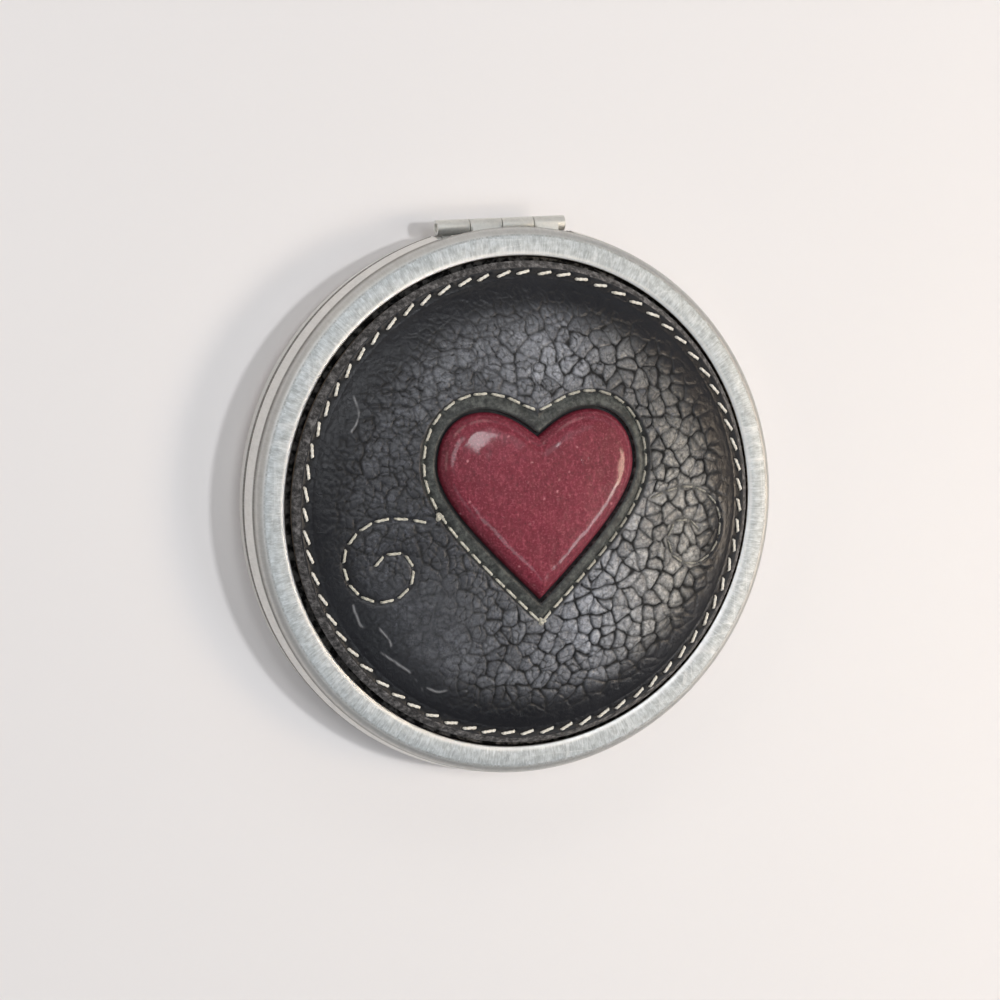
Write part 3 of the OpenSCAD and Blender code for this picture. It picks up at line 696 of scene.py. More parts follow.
def seam_half():
    """The heart's seam: closer at the sides and wider at the top, with a high notch."""
    u = outward(heart_right)
    q = heart_right + (1.85 + 0.25 * (2 * u[:, 1:] ** 2 - 1)) * u
    q = q[q[:, 0] > 1.0]
    tip = [0.0, -11.75 - 1.85 / math.sin(math.radians(44.5))]
    return smooth_path(resample(np.concatenate([[[0, 11.9]], q[:-1], [tip]]), 160), 2)


seam_right = seam_half()
CURL = [(14.5, -0.5), (17.5, 0.3), (20.5, 0.4), (23.0, -0.8), (24.7, -3.0), (24.9, -5.6),
        (23.9, -8.0), (21.6, -9.5), (18.9, -9.3), (17.1, -7.6), (16.9, -5.3), (18.3, -3.7),
        (20.3, -4.0), (21.6, -5.4)]
curl_right = catmull(CURL)
HEART_LOOP = turned(heart_loop, HEART_TURN, HEART_X)
SEAMS = {
    "heart_seam_right": turned(seam_right, HEART_TURN, HEART_X),
    "heart_seam_left": turned(seam_right * [-1, 1], HEART_TURN, HEART_X),
    "curl_right": turned(curl_right + [CURL_X[1], 0], CURL_TURN),
    "curl_left": turned(curl_right * [-1, 1] + [CURL_X[0], 0], CURL_TURN),
}
# pale, cracked fold lines in the skin at the lower left
FOLDS = [
    [(-23.9, -10.1), (-23.0, -12.4), (-22.0, -13.6)],
    [(-20.8, -16.2), (-19.6, -16.9), (-18.4, -17.9), (-17.2, -19.1), (-16.1, -20.4), (-15.8, -21.8)],
    [(-15.2, -21.1), (-13.9, -21.8), (-12.2, -21.7), (-10.3, -22.0)],
    [(-21.0, -13.1), (-20.1, -14.1), (-19.5, -15.3)],
    [(-22.0, 15.2), (-21.6, 12.8), (-22.6, 10.8)]]


def seg_distance(P, line, closed=False):
    """Distance of each point to a polyline."""
    A = line
    B = np.roll(line, -1, axis=0) if closed else line[1:]
    A = A if closed else line[:-1]
    best = np.full(len(P), 1e9)
    for a, b in zip(A, B):
        d = b - a
        L = d @ d
        if L < 1e-12:
            continue
        t = np.clip(((P - a) @ d) / L, 0, 1)
        q = P - a - t[:, None] * d
        best = np.minimum(best, np.einsum("ij,ij->i", q, q))
    return np.sqrt(best)


def inside(P, loop):
    x, y = P[:, 0], P[:, 1]
    hit = np.zeros(len(P), bool)
    for (x0, y0), (x1, y1) in zip(loop, np.roll(loop, -1, axis=0)):
        if y0 == y1:
            continue
        m = (y0 > y) != (y1 > y)
        hit ^= m & (x < (x1 - x0) * (y - y0) / (y1 - y0) + x0)
    return hit


def smoothstep(a, b, x):
    t = np.clip((x - a) / (b - a), 0, 1)
    return t * t * (3 - 2 * t)


def value_noise(P, scale, seed):
    """Smooth noise between 0 and 1 at 2-D points."""
    g = np.random.default_rng(seed).random((64, 64))
    q = P / scale
    i = np.floor(q).astype(int)
    f = q - i
    f = f * f * (3 - 2 * f)
    a = g[i[:, 0] % 64, i[:, 1] % 64]
    b = g[(i[:, 0] + 1) % 64, i[:, 1] % 64]
    c_ = g[i[:, 0] % 64, (i[:, 1] + 1) % 64]
    d = g[(i[:, 0] + 1) % 64, (i[:, 1] + 1) % 64]
    return (a * (1 - f[:, 0]) + b * f[:, 0]) * (1 - f[:, 1]) + (c_ * (1 - f[:, 0]) + d * f[:, 0]) * f[:, 1]


def pebbles(P, size, seed, spread=0.95):
    """Cells of about the given size. Returns, for each point, the distance in mm to the nearest border,
    the distance to the next one, a number per border and a number per cell."""
    r = np.random.default_rng(seed)
    n = 96
    off = r.random((n, n, 2))
    tone = r.random((n, n))
    q = P / size
    base = np.floor(q).astype(int)
    dist, px, py, ids = [], [], [], []
    for dx in (-2, -1, 0, 1, 2):
        for dy in (-2, -1, 0, 1, 2):
            i, j = base[:, 0] + dx, base[:, 1] + dy
            o = off[i % n, j % n]
            sx = i + 0.5 + spread * (o[:, 0] - 0.5) - q[:, 0]
            sy = j + 0.5 + spread * (o[:, 1] - 0.5) - q[:, 1]
            dist.append(sx * sx + sy * sy)
            px.append(sx)
            py.append(sy)
            ids.append(tone[i % n, j % n])
    dist, px, py, ids = (np.array(v) for v in (dist, px, py, ids))
    order = np.argpartition(dist, 2, axis=0)[:3]
    near = np.take_along_axis(dist, order, 0)
    order = np.take_along_axis(order, np.argsort(near, axis=0), 0)
    near, px, py, ids = (np.take_along_axis(v, order, 0) for v in (dist, px, py, ids))

    def border(k):
        gap = np.hypot(px[k] - px[0], py[k] - py[0])
        return (near[k] - near[0]) / np.maximum(2 * gap, 1e-6) * size

    mark = np.modf((ids[0] + ids[1]) * 7.31)[0]
    return border(1), border(2), mark, ids[0]


# ---------------------------------------------------------------- the leather's surface
def stitch_list():
    """Every stitch: (group, centre, direction, length, radius)."""
    out = []
    r = np.random.default_rng(21)
    for i in range(69):
        a = 2 * math.pi * (i + 0.12 * (r.random() - 0.5)) / 69
        rr = SEAM_R + 0.10 * (r.random() - 0.5)
        t = a + math.pi / 2 + math.radians(15 + 7 * (r.random() - 0.5))
        out.append(("border", np.array([rr * math.cos(a), rr * math.sin(a)]),
                    np.array([math.cos(t), math.sin(t)]), 1.84 + 0.22 * (r.random() - 0.5), 0.185))
    for name, group in (("heart_seam_right", "heart"), ("heart_seam_left", "heart"),
                        ("curl_right", "right"), ("curl_left", "left")):
        line = SEAMS[name]
        d = np.r_[0, np.cumsum(np.linalg.norm(np.diff(line, axis=0), axis=1))]
        n = int(d[-1] / 2.1)
        step = d[-1] / n
        for k in range(n):
            s = (k + 0.5 + 0.10 * (r.random() - 0.5)) * step
            l = 1.72 + 0.20 * (r.random() - 0.5)
            a = np.array([np.interp(s - l / 2, d, line[:, 0]), np.interp(s - l / 2, d, line[:, 1])])
            b = np.array([np.interp(s + l / 2, d, line[:, 0]), np.interp(s + l / 2, d, line[:, 1])])
            v = b - a
            out.append((group, (a + b) / 2, v / np.linalg.norm(v), np.linalg.norm(v),
                        0.13 if group == "right" else 0.165))
    return out


STITCHES = stitch_list()


def leather_height(P, fine=True):
    """Top surface of the leather at 2-D points, in mm; also its masks: crease, pressed, worn, painted_sheen (paler
    pebble tops as painted highlight), free.
    """
    r = np.linalg.norm(P, axis=1)
    z = crown(r)
    th = np.arctan2(P[:, 1], P[:, 0])
    hd = seg_distance(P, HEART_LOOP, True)
    sd = np.where(inside(P, HEART_LOOP), -hd, hd)
    # broad waves of the padding under the skin
    z = z + 0.16 * (value_noise(P + 200, 9.0, 3) - 0.5) * smoothstep(FOOT_R, FOOT_R - 5, r)
    # band pressed flat round the heart, with a rounded edge at the cut-out
    band = 1 - smoothstep(1.55, 2.35, sd)
    z = z - 0.30 * band - 0.16 * (1 - smoothstep(0.2, 0.55, sd))
    # seams pull the skin down
    seam = np.full(len(P), 9.0)
    for line in SEAMS.values():
        seam = np.minimum(seam, seg_distance(P, line[::2]))
    z = z - 0.20 * np.exp(-(seam / 0.42) ** 2) - 0.10 * np.exp(-(seam / 1.2) ** 2)
    edge_seam = np.abs(r - SEAM_R)
    z = z - 0.16 * np.exp(-(edge_seam / 0.42) ** 2) - 0.04 * np.exp(-(edge_seam / 0.9) ** 2)
    # gathers that the border seam draws in the crown's foot
    pull = np.exp(-((r - (FOOT_R - 1.4)) / 1.3) ** 2)
    z = z + 0.010 * pull * np.sin(69 * th + 5 * value_noise(P + 90, 5, 5))
    # the cut edge leans in: from the flat border down to the board
    lean_in = np.clip((r - 29.3) / (PANEL_R - 29.3), 0, 1)
    z = z - 1.06 * lean_in ** 1.25
    # needle holes at both ends of every stitch
    for _, c_, d, l, rad in STITCHES:
        for s in (-1, 1):
            h = c_ + s * d * l / 2
            near = np.nonzero((np.abs(P[:, 0] - h[0]) < 0.8) & (np.abs(P[:, 1] - h[1]) < 0.8))[0]
            if len(near):
                q = np.linalg.norm(P[near] - h, axis=1)
                z[near] -= 0.20 * np.exp(-(q / 0.20) ** 2)
    crease, worn, painted_sheen, open_ = (np.zeros(len(P)) for _ in range(4))
    if fine:
        warp = np.stack([value_noise(P + 50, 1.3, 11), value_noise(P + 70, 1.3, 12)], -1) - 0.5
        warp2 = np.stack([value_noise(P + 150, 0.45, 13), value_noise(P + 170, 0.45, 14)], -1) - 0.5
        e1, v1, m1, t1 = pebbles(P + 0.55 * warp + 0.10 * warp2, 1.95, 31)
        e2, v2, m2, t2 = pebbles(P + 13 + 0.45 * warp + 0.12 * warp2, 0.92, 32)
        # where the skin is slack and where it is drawn tight
        lean = smoothstep(-10, 15, P[:, 0] - 0.35 * P[:, 1])
        border = smoothstep(FOOT_R - 0.6, FOOT_R - 5.0, r)
        patch = value_noise(P + 300, 6.0, 8)
        free = smoothstep(0.1, 0.9, sd - 1.75) * (0.30 + 0.70 * smoothstep(0.15, 0.9, seam))
        low_left = smoothstep(6.0, 13.0, np.hypot(P[:, 0] + 19, P[:, 1] + 16))
        big = free * (0.07 + 0.93 * border) * (0.42 + 0.58 * lean) * (0.75 + 0.5 * patch)
        big = big * (0.30 + 0.70 * low_left)
        small = free * (0.30 + 0.70 * border) * (0.95 - 0.45 * lean) * (0.5 + value_noise(P + 520, 4.0, 9))
        small = small * (0.45 + 0.55 * low_left)
        # V-shaped creases, deeper and wider where three cells meet, and faint along some borders
        node_ = np.exp(-(v1 / 0.42) ** 2)
        w1 = 0.115 * (0.55 + 0.75 * m1) * (1 + 1.0 * node_)
        d1 = np.exp(-np.power(e1 / w1, 1.5)) * (0.30 + 0.70 * m1 + 0.5 * node_)
        node2 = np.exp(-(v2 / 0.22) ** 2)
        w2 = 0.075 * (0.6 + 0.7 * m2) * (1 + 0.8 * node2)
        d2 = np.exp(-np.power(e2 / w2, 1.4)) * (0.15 + 0.85 * m2 * m2 + 0.4 * node2)
        pillow = 1 - np.exp(-e1 / 0.42)
        z = z + big * (0.13 * (pillow - 1) - 0.17 * d1 + 0.05 * (t1 - 0.5) * pillow)
        z = z - small * (0.085 * d2 + 0.03 * np.exp(-e2 / 0.2))
        z = z + (0.012 + 0.016 * free) * (value_noise(P, 0.42, 17) - 0.5)
        crease = np.clip(np.maximum(np.clip(big * 1.6, 0, 1.15) * d1,
                                    np.clip(small * 1.2, 0, 0.85) * d2), 0, 1)
        # painted highlight: the crown's pebble tops made paler where the lamps' sheen falls, most on the right and
        # towards the lower right
        high = smoothstep(FOOT_R - 2.2, FOOT_R - 7.0, r) * smoothstep(0.2, 0.7, sd - 1.8)
        def about(a, w):
            return np.exp(-(np.angle(np.exp(1j * (th - math.radians(a)))) / math.radians(w)) ** 2)

        painted_sheen = high * np.clip(0.11 + 0.85 * about(-15, 41) + 0.60 * about(-66, 34)
                                + 0.60 * about(80, 34) + 0.16 * about(-118, 30) + 0.10 * about(130, 24), 0, 1)
        painted_sheen = painted_sheen * (0.60 + 0.6 * t1 + 0.35 * (patch - 0.5)) * (1 - 0.35 * np.exp(-(e1 / 0.28) ** 2))
        open_ = high
        for line in FOLDS:
            q = seg_distance(P + 0.35 * warp, catmull(line, 6))
            ridge = np.exp(-(q / 0.11) ** 2) * smoothstep(0.25, 0.6, value_noise(P + 33, 0.9, 61))
            z = z + 0.05 * ridge
            worn = np.maximum(worn, 0.75 * ridge)
    # the crease mask also carries painted shade along the seams, round the heart's cut-out and at the border seam
    crease = np.maximum(crease, 0.45 * np.exp(-(seam / 0.28) ** 2))
    crease = np.maximum(crease, 1 - smoothstep(0.10, 0.42, sd))
    crease = np.maximum(crease, 0.7 * np.exp(-(np.abs(r - SEAM_R) / 0.35) ** 2))
    pressed = band * smoothstep(0.15, 0.5, sd)
    return z, *(np.clip(v, 0, 1) for v in (crease, pressed, worn, painted_sheen, open_))


def leather_cover():
    """The cover: a skin 1.2 mm thick with a heart-shaped hole and a skived, cut edge."""
    seg, rows = 1120, 168
    mid = turned([0.0, 2.0], HEART_TURN, HEART_X)
    hole = turned(grown_loop(0.2), HEART_TURN, HEART_X)
    a_hole = np.unwrap(np.arctan2(hole[:, 1] - mid[1], hole[:, 0] - mid[0]))
    r_hole = np.hypot(hole[:, 0] - mid[0], hole[:, 1] - mid[1])
    flip = -1 if a_hole[-1] < a_hole[0] else 1
    order = np.argsort(a_hole * 1.0)
    a_s, r_s = a_hole[order], r_hole[order]
    a_s = np.concatenate([a_s - 2 * np.pi, a_s, a_s + 2 * np.pi])
    r_s = np.concatenate([r_s, r_s, r_s])
    ang = np.linspace(0, 2 * np.pi, seg, endpoint=False)
    # the rays through the notch and the tip are kept exactly
    for p in (hole[0], hole[len(hole) // 2]):
        a = math.atan2(p[1] - mid[1], p[0] - mid[0]) % (2 * np.pi)
        ang[np.argmin(np.abs(ang - a))] = a
    ang = np.sort(ang)
    inner = np.interp(ang, a_s, r_s)
    ray = np.stack([np.cos(ang), np.sin(ang)], -1)
    out_r = PANEL_R
    b = ray @ mid
    outer = -b + np.sqrt(b * b + out_r ** 2 - mid @ mid)
    t = np.concatenate([np.linspace(0, 0.05, 9), np.linspace(0.05, 1, rows - 8)[1:]])
    P = (mid + ray[None] * (inner + (outer - inner) * t[:, None])[..., None])
    P = P.reshape(-1, 2)
    z, crease, pressed, worn, painted_sheen, free = leather_height(P)
    verts = [np.concatenate([P, z[:, None]], 1)]
    n = len(t)
    quads, kind = [], []
    j = np.arange(seg)
    k = (j + 1) % seg

    def strip(a, b_, m):
        quads.append(np.stack([a + j, b_ + j, b_ + k, a + k], 1))
        kind.append(np.full(seg, m))

    for i in range(n - 1):
        r_mid = np.linalg.norm(P[(i + 1) * seg:(i + 2) * seg], axis=1)
        quads.append(np.stack([i * seg + j, (i + 1) * seg + j, (i + 1) * seg + k, i * seg + k], 1))
        kind.append((r_mid > 29.42).astype(int))
    count = n * seg
    # down the cut side, along the underside, and up the wall of the cut-out
    last = (n - 1) * seg
    side = P[last:last + seg]
    below = [np.concatenate([side, np.full((seg, 1), SEW_Z + 0.01)], 1)]
    tt = np.linspace(1, 0, 26)[1:]
    for s_ in tt:
        Q = mid + ray * (inner + (outer - inner) * s_)[:, None]
        rq = np.linalg.norm(Q, axis=1)
        zq = np.where(rq < FOOT_R - 0.6, crown(rq) - LEATHER_T + 0.02, SEW_Z + 0.01)
        zq = np.where(rq < FOOT_R - 0.6, zq, SEW_Z + 0.01)
        below.append(np.concatenate([Q, np.minimum(zq, z[:seg] - 0.3 if s_ == 0 else zq)[:, None]], 1))
    prev = last
    for m, row in enumerate(below):
        verts.append(row)
        strip(prev, count, 1)
        prev = count
        count += seg
    strip(prev, 0, 1)
    verts = np.concatenate(verts)
    faces = np.concatenate(quads)
    kinds = np.concatenate(kind)
    ob = make("leather_cover", verts, faces.tolist(), [M_LEATHER, M_EDGE], "lid", ["leather_panel"],
              face_mats=kinds)
    bm = bmesh.new()
    bm.from_mesh(ob.data)
    bmesh.ops.recalc_face_normals(bm, faces=bm.faces)
    bm.to_mesh(ob.data)
    bm.free()
    extra = len(verts) - len(P)
    for name, v in (("crease", crease), ("pressed", pressed), ("worn", worn), ("painted_sheen", painted_sheen),
                    ("free", free)):
        set_attr(ob, name, np.concatenate([v, np.zeros(extra)]))
    ob.data.set_sharp_from_angle(angle=math.radians(60))
    return ob


# ---------------------------------------------------------------- the padded heart
def heart_cushion():
    """The heart's skin, swollen over its padding: steep at the edge, with a shoulder and a flatter top."""
    step = 0.20
    xs = np.arange(-13.6, 13.61, step)
    ys = np.arange(-12.6, 12.81, step)
    gx, gy = np.meshgrid(xs, ys, indexing="ij")
    G = np.stack([gx.ravel(), gy.ravel()], -1)
    m = inside(G, heart_loop).reshape(gx.shape)
    u = np.zeros(gx.shape)
    for _ in range(2200):
        v = 0.25 * (np.roll(u, 1, 0) + np.roll(u, -1, 0) + np.roll(u, 1, 1) + np.roll(u, -1, 1)
                    + step * step)
        u = np.where(m, v, 0.0)
    u /= u.max()

    def field(p):
        q = np.stack([(p[:, 0] - xs[0]) / step, (p[:, 1] - ys[0]) / step], -1)
        i = np.clip(np.floor(q).astype(int), 0, [len(xs) - 2, len(ys) - 2])
        f = q - i
        a, b = u[i[:, 0], i[:, 1]], u[i[:, 0] + 1, i[:, 1]]
        c_, d = u[i[:, 0], i[:, 1] + 1], u[i[:, 0] + 1, i[:, 1] + 1]
        return (a * (1 - f[:, 0]) + b * f[:, 0]) * (1 - f[:, 1]) + (c_ * (1 - f[:, 0]) + d * f[:, 0]) * f[:, 1]

    mid = np.array([0.0, 2.0])
    loop = grown_loop(-0.18)
    loop = resample(np.concatenate([loop, loop[:1]]), 721)[:-1]
    seg = len(loop)
    s = np.concatenate([np.linspace(0.02, 0.72, 44), 1 - 0.28 * (1 - np.linspace(0, 1, 46)[1:]) ** 1.5])
    P = np.concatenate([[mid]] + [mid + k * (loop - mid) for k in s])
    edge = seg_distance(P, loop, True)
    # distance that rounds off along the medial line, so the shoulder has no crease
    t = np.clip(edge / 2.5, 0, 1)
    roll = np.sqrt(np.clip(1 - (1 - t) ** 2.3, 0, 1))
    soft = np.sqrt(np.clip(field(P), 0, 1))
    h = 1.52 * roll + 0.60 * soft
    wave = 0.06 * (value_noise(P + 60, 2.6, 41) - 0.5) + 0.035 * (value_noise(P + 20, 0.9, 42) - 0.5)
    h = h + wave * np.clip(edge / 1.5, 0, 1)
    W = turned(P, HEART_TURN, HEART_X)
    foot = crown(np.linalg.norm(W, axis=1)) - LEATHER_T + 0.02
    z = foot + h
    print("heart top", round(float(z.max()), 3))
    verts = [np.concatenate([W, z[:, None]], 1)]
    j = np.arange(seg)
    k = (j + 1) % seg
    faces = [(0, 1 + int(a), 1 + int(b)) for a, b in zip(j, k)]
    count = len(P)

    def strip(a, b_):
        faces.extend(np.stack([a + j, b_ + j, b_ + k, a + k], 1).tolist())

    for i in range(len(s) - 1):
        strip(1 + i * seg, 1 + (i + 1) * seg)
    prev = 1 + (len(s) - 1) * seg
    # underside: a rim that stands on the foam, and a hollow over the padding
    for scale, kind in ((0.99, "rim"), (0.912, "rim"), (0.910, "roof"), (0.5, "roof")):
        Q = mid + scale * (loop - mid)
        V = turned(Q, HEART_TURN, HEART_X)
        rv = np.linalg.norm(V, axis=1)
        zz = crown(rv) - LEATHER_T + 0.02 if kind == "rim" else crown(0) + 0.9 - 1.15 * (rv / 13) ** 2 - 0.84
        verts.append(np.concatenate([V, zz[:, None]], 1))
        strip(prev, count)
        prev = count
        count += seg
    V = turned(mid, HEART_TURN, HEART_X)
    verts.append(np.array([[V[0], V[1], crown(0) + 0.9 - 0.84 - 1.15 * (V @ V) / 169]]))
    faces.extend((count, int(prev + b), int(prev + a)) for a, b in zip(j, k))
    ob = make("heart_cushion", np.concatenate(verts), faces, M_RED, "lid", ["heart_inlay"])
    bm = bmesh.new()
    bm.from_mesh(ob.data)
    bmesh.ops.recalc_face_normals(bm, faces=bm.faces)
    bm.to_mesh(ob.data)
    bm.free()
    ob.data.set_sharp_from_angle(angle=math.radians(60))
    return ob


# ---------------------------------------------------------------- thread
def stitches():
    groups = {"border": [], "heart": [], "left": [], "right": []}
    for g, c_, d, l, rad in STITCHES:
        groups[g].append((c_, d, l, rad))
    names = {"border": ("border_thread", "border_stitching", M_THREAD),
             "heart": ("heart_thread", "heart_stitching", M_FINE),
             "left": ("left_curl_thread", "left_curl_stitching", M_FINE),
             "right": ("right_curl_thread", "right_curl_stitching", M_DULL)}
    r = np.random.default_rng(77)
    for g, items in groups.items():
        pts = []
        for c_, d, l, rad in items:
            for t in np.linspace(-0.56, 0.56, 15):
                pts.append(c_ + d * l * t)
        zs = leather_height(np.array(pts), fine=False)[0].reshape(len(items), 15)
        verts, faces = [], []
        for (c_, d, l, rad), zrow in zip(items, zs):
            n, m = 15, 10
            side = np.array([-d[1], d[0]])
            phase = r.random() * 6.28
            # the thread bridges its own groove: a straight run that dives at both ends
            t = np.linspace(-0.56, 0.56, n)
            mid_z = 0.5 * (zrow[3] + zrow[-4]) + (zrow[n // 2] - 0.5 * (zrow[3] + zrow[-4])) * (1 - (t / 0.56) ** 2)
            top = np.maximum(mid_z, zrow) + rad * 0.62
            dive = smoothstep(0.40, 0.56, np.abs(t))
            zc = top * (1 - dive) + (zrow - 0.30) * dive
            base = len(verts)
            for i in range(n):
                x, y = c_ + d * l * t[i]
                body = rad * (1 - 0.45 * smoothstep(0.36, 0.56, abs(t[i])))
                for jj in range(m):
                    a = 2 * math.pi * jj / m
                    # two plies laid round each other
                    lobes = 1 + 0.13 * math.cos(2 * (a - phase - 5.2 * t[i] * l))
                    q = body * lobes
                    verts.append((x + side[0] * q * math.cos(a), y + side[1] * q * math.cos(a),
                                  zc[i] + 0.82 * q * math.sin(a)))
            for i in range(n - 1):
                for jj in range(m):
                    kk = (jj + 1) % m
                    faces.append((base + i * m + jj, base + i * m + kk,
                                  base + (i + 1) * m + kk, base + (i + 1) * m + jj))
            faces.append([base + jj for jj in range(m - 1, -1, -1)])
            faces.append([base + (n - 1) * m + jj for jj in range(m)])
        if g in ("left", "heart"):
            # the knots that tie the thread off: the curl's at the heart's seam, the heart's at its tip
            at = np.array([-13.1, 0.0]) if g == "left" else turned([0.1, -14.2], HEART_TURN, HEART_X)
            zk = leather_height(at[None], fine=False)[0][0]
            base, m, n = len(verts), 14, 60
            for i in range(n):
                w = 2 * math.pi * i / n
                cx, cy = 0.30 * math.cos(w) + 0.12 * math.cos(2 * w), 0.26 * math.sin(w) - 0.12 * math.sin(2 * w)
                cz = 0.13 * math.sin(3 * w)
                tx, ty = -0.30 * math.sin(w) - 0.24 * math.sin(2 * w), 0.26 * math.cos(w) - 0.24 * math.cos(2 * w)
                ln = math.hypot(tx, ty) or 1.0
                sx, sy = -ty / ln, tx / ln
                for jj in range(m):
                    a = 2 * math.pi * jj / m
                    verts.append((at[0] + cx + 0.2 * sx * math.cos(a), at[1] + cy + 0.2 * sy * math.cos(a),
                                  zk + 0.26 + cz + 0.2 * math.sin(a)))
            for i in range(n):
                for jj in range(m):
                    a0, a1 = base + i * m, base + ((i + 1) % n) * m
                    faces.append((a0 + jj, a0 + (jj + 1) % m, a1 + (jj + 1) % m, a1 + jj))
        name, node, mat = names[g]
        make(name, verts, faces, mat, "lid", [node])


# ---------------------------------------------------------------- metal, glass and bezels
def case_pieces():
    e = LID_R
    top = catmull([(RING_R, RING_Z - 0.15), (RING_R + 0.13, RING_Z + 0.04), (RING_R + 0.75, RING_Z + 0.19),
                   (RING_R + 1.65, RING_Z + 0.25), (e - 1.0, RING_Z + 0.13), (e - 0.5, RING_Z - 0.19),
                   (e - 0.2, RING_Z - 0.6), (e - 0.08, RING_Z - 1.0), (e - 0.08, RING_Z - 1.3)], 6)
    skirt = catmull([(e - 0.19, GROOVE_Z + 0.02), (e - 0.16, GROOVE_Z - 0.1), (e - 0.03, GROOVE_Z - 0.22),
                     (e + 0.12, GROOVE_Z - 0.7), (e + 0.33, GROOVE_Z - 1.7), (e + 0.44, LID_Z + 0.7),
                     (e + 0.46, LID_Z + 0.3), (e + 0.40, LID_Z + 0.08), (e + 0.25, LID_Z)], 5)
    under = catmull([(e - 0.15, LID_Z), (e - 0.18, LID_Z + 0.6), (e - 0.30, GROOVE_Z - 1.7),
                     (e - 0.52, GROOVE_Z - 0.7), (e - 0.62, GROOVE_Z - 0.2),
                     (e - 0.62, RING_Z - 1.1), (e - 0.75, RING_Z - 0.7),
                     (e - 1.1, RING_Z - 0.42), (RING_R + 1.65, RING_Z - 0.27),
                     (RING_R + 0.75, RING_Z - 0.34), (RING_R + 0.5, RING_Z - 0.5)], 4)
    lid = [(0, SEAT_Z), (RING_R - 0.2, SEAT_Z), (RING_R - 0.06, SEAT_Z + 0.06), (RING_R, SEAT_Z + 0.2)]
    lid += [tuple(p) for p in top] + [(e - 0.15, GROOVE_Z + 0.04)] + [tuple(p) for p in skirt]
    lid += [tuple(p) for p in under] + [(RING_R + 0.5, PLATE_Z), (0, PLATE_Z)]
    lathe("lid_case", lid, M_CASE, "lid", ["lid_shell"], seg=540,
          boxes=[((-NOTCH, BAY_R - 2.6, 0), (NOTCH, 45, PLATE_Z))])
    foot = catmull([(WALL_R - 1.2, 0), (WALL_R - 0.6, 0.1), (WALL_R - 0.25, 0.35), (WALL_R - 0.07, 0.7),
                    (WALL_R, 1.15)], 5)
    rim = catmull([(WALL_R, BASE_H - 0.92), (R - 0.04, BASE_H - 0.78), (R, BASE_H - 0.55),
                   (R, BASE_H - 0.28), (R - 0.09, BASE_H - 0.07), (R - 0.28, BASE_H)], 5)
    inner = catmull([(BAY_R + 0.15, BASE_H), (BAY_R + 0.03, BASE_H - 0.05), (BAY_R, BASE_H - 0.2)], 4)
    floor_ = catmull([(BAY_R, 1.35), (BAY_R - 0.12, BASE_T + 0.25), (BAY_R - 0.35, BASE_T + 0.06),
                      (BAY_R - 0.7, BASE_T)], 5)
    base = [(0, 0)] + [tuple(p) for p in np.concatenate([foot, rim, inner, floor_])] + [(0, BASE_T)]
    lathe("base_case", base, M_CASE, "base", ["base_shell"], seg=540,
          boxes=[((-NOTCH, BAY_R - 4, HINGE_Z - 1.15), (NOTCH, 45, 12))])

    # mirrors: silvered faces with a ground edge
    g, z0 = 30.0, BASE_T + 0.6
    face = z0 + 2.0
    rr = np.linspace(g - 0.8, 0, 40)
    hollow = [(float(q), face - 0.5 * (1 - (q / (g - 0.8)) ** 2)) for q in rr]
    lathe("magnifying_mirror", [(0, z0), (g - 0.15, z0), (g, z0 + 0.15), (g, face - 0.12), (g - 0.12, face)]
          + hollow, [M_MIRROR, M_GLASS_EDGE], "base", ["base_mirror"], seg=256,
          second=lambda r, z: r > g - 0.2)
    g, low = 29.5, PLATE_Z - 0.8 - 1.6
    lathe("plain_mirror", [(0, low), (g - 0.15, low), (g, low + 0.15), (g, low + 1.45), (g - 0.15, low + 1.6),
                           (0, low + 1.6)], [M_MIRROR, M_GLASS_EDGE], "lid", ["lid_mirror"],
          seg=256, second=lambda r, z: r > g - 0.2)

    # bezels
    in_r, lip, out, top_z = 30.1, 29.2, BAY_R - 1.0, face + 0.4
    prof = round_profile([(in_r, BASE_T), (out - 0.2, BASE_T), (out, BASE_T + 0.25), (out, top_z),
                          (lip, top_z), (lip, face + 0.01), (in_r, face + 0.01)],
                         [0, 0.05, 0.1, 0.3, 0.22, 0.08, 0], 6)
    lathe("magnifier_bezel", prof, M_BEZEL, "base", ["base_bezel"], seg=360,
          rounds=[(0, -MAGNET_Y, top_z - 1.2, top_z + 2, 1.23)])
    in_r, lip, out, bottom = 29.6, 28.7, BAY_R - 1.2, low - 0.45
    prof = round_profile([(lip, bottom), (out, bottom), (out, PLATE_Z), (in_r, PLATE_Z), (in_r, low - 0.01),
                          (lip, low - 0.01)], [0.22, 0.38, 0.05, 0, 0, 0.08], 6)
    lathe("mirror_bezel", prof, M_BEZEL, "lid", ["lid_bezel"], seg=360,
          boxes=[((-7.75, R - 6.6 - 1.5, PLATE_Z - 0.7), (7.75, 37, 12))],
          rounds=[(0, -MAGNET_Y, bottom - 2, bottom + 1.2, 1.23)])
    bevelled("base_hinge_leaf", "base_leaf", 0.07, M_HINGE, "base")
    bevelled("lid_hinge_leaf", "lid_leaf", 0.07, M_HINGE, "lid")
    bevelled("base_hinge_rivets", "base_rivets", 0.05, M_HINGE, "base")
    bevelled("lid_hinge_rivets", "lid_rivets", 0.05, M_HINGE, "lid")
    bevelled("hinge_pin", "pin", 0.05, M_HINGE, "base")
    bevelled("base_magnet", "magnet_base", 0.10, M_MAGNET, "base")
    bevelled("lid_magnet", "magnet_lid", 0.10, M_MAGNET, "lid")


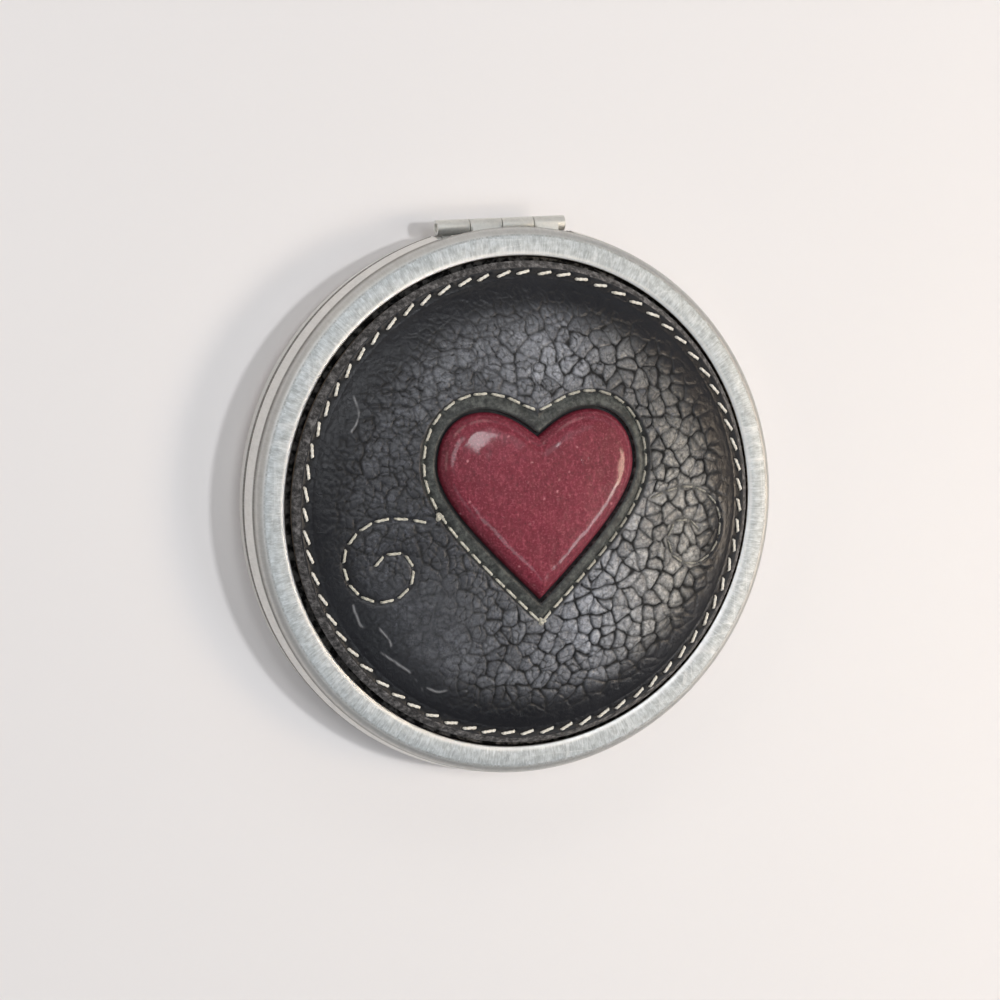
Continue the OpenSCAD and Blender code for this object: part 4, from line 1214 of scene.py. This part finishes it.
def plain_nodes():
    # the padding gets the near-black colour that stands in for shade in the gap round the heart
    looks = {"base_mirror_pad": M_TAPE, "lid_mirror_pad": M_TAPE, "panel_adhesive": M_FILM,
             "backing_board": M_BOARD, "foam_padding": M_PAD_SHADE, "heart_padding": M_PAD_SHADE}
    for n, m in looks.items():
        me = nodes[n].data
        if not len(me.materials):
            me.materials.append(m)
        for i in range(len(me.materials)):
            me.materials[i] = m


leather_cover()
heart_cushion()
stitches()
case_pieces()
plain_nodes()

# ---------------------------------------------------------------- floor and light
bpy.ops.mesh.primitive_plane_add(size=4.0, location=(0, 0, 0))
floor = bpy.context.object
floor.name = "floor"
s = Shade("table_top")
grain = s.noise(400, 3, 0.5)
s.set(color=s.ramp(s.noise(6, 3, 0.5), [(0.3, (0.768, 0.742, 0.740)), (0.7, (0.790, 0.764, 0.760))]),
      rough=s.range(grain, 0.3, 0.7, 0.5, 0.6), spec=0.25, normal=s.bump(grain, 0.05, 0.00005))
floor.data.materials.append(s.mat)

world = bpy.data.worlds.new("room")
bpy.context.scene.world = world
world.use_nodes = True
# a room with pale walls and a dim ceiling, so that the mirrors have something to show
tree = world.node_tree
where = tree.nodes.new("ShaderNodeTexCoord")
parts = tree.nodes.new("ShaderNodeSeparateXYZ")
walls = tree.nodes.new("ShaderNodeValToRGB")
tree.links.new(where.outputs["Generated"], parts.inputs[0])
tree.links.new(parts.outputs[2], walls.inputs[0])
tree.links.new(walls.outputs[0], tree.nodes["Background"].inputs[0])
for k, (at, level) in enumerate(((0.0, 0.24), (0.50, 0.22), (0.70, 0.15), (0.87, 0.05), (1.0, 0.03))):
    stop = walls.color_ramp.elements[k] if k < 2 else walls.color_ramp.elements.new(at)
    stop.position = at
    stop.color = (level * 0.97, level * 0.98, level, 1.0)


def area(name, direction, dist, wide, tall, power, color):
    """An area light on the given direction (azimuth from +X, zenith angle), aimed at the case.
    wide is its side along the azimuth and tall the one towards the zenith."""
    az, ze = math.radians(direction[0]), math.radians(direction[1])
    v = Vector((math.sin(ze) * math.cos(az), math.sin(ze) * math.sin(az), math.cos(ze)))
    d = bpy.data.lights.new(name, "AREA")
    d.shape = "RECTANGLE"
    d.size, d.size_y = wide, tall
    d.energy, d.color = power, color
    o = bpy.data.objects.new(name, d)
    bpy.context.scene.collection.objects.link(o)
    o.location = v * dist
    o.rotation_mode = "QUATERNION"
    o.rotation_quaternion = v.to_track_quat("Z", "Y")
    return o


key = area("key", (4, 26.5), 1.2, 0.085, 0.085, 4.7, (0.96, 0.98, 1.0))
key.visible_glossy = False      # a small lamp for the crisp cast shadow; the broad ones make the sheen
area("overhead", (60, 14), 1.0, 0.20, 0.20, 1.30, (0.96, 0.98, 1.0))
area("right", (-28, 46), 1.0, 0.34, 0.20, 1.45, (0.97, 0.98, 1.0))
area("warm_right", (-8, 48), 0.36, 0.11, 0.085, 0.34, (1.0, 0.80, 0.58))
area("window", (146, 26), 1.0, 0.44, 0.26, 1.35, (0.94, 0.97, 1.0))
area("back_left", (120, 61), 1.0, 0.42, 0.26, 0.62, (1.0, 0.91, 0.82))
area("back", (84, 61), 1.0, 0.42, 0.26, 0.60, (1.0, 0.94, 0.86))
area("back_right", (45, 61), 1.0, 0.80, 0.26, 0.36, (0.90, 0.96, 1.0))
area("left", (170, 61), 1.0, 0.42, 0.26, 0.44, (1.0, 0.90, 0.80))
area("near", (-98, 27), 1.0, 0.36, 0.20, 0.66, (0.90, 0.96, 1.0))
area("fill", (45, 24), 1.0, 0.28, 0.24, 0.20, (0.84, 0.93, 1.0))
area("near_left", (-140, 44), 1.0, 0.30, 0.24, 0.20, (0.88, 0.93, 1.0))

bpy.context.scene.view_settings.view_transform = "Standard"
bpy.context.scene.view_settings.look = "None"
bpy.context.scene.view_settings.exposure = 0.0
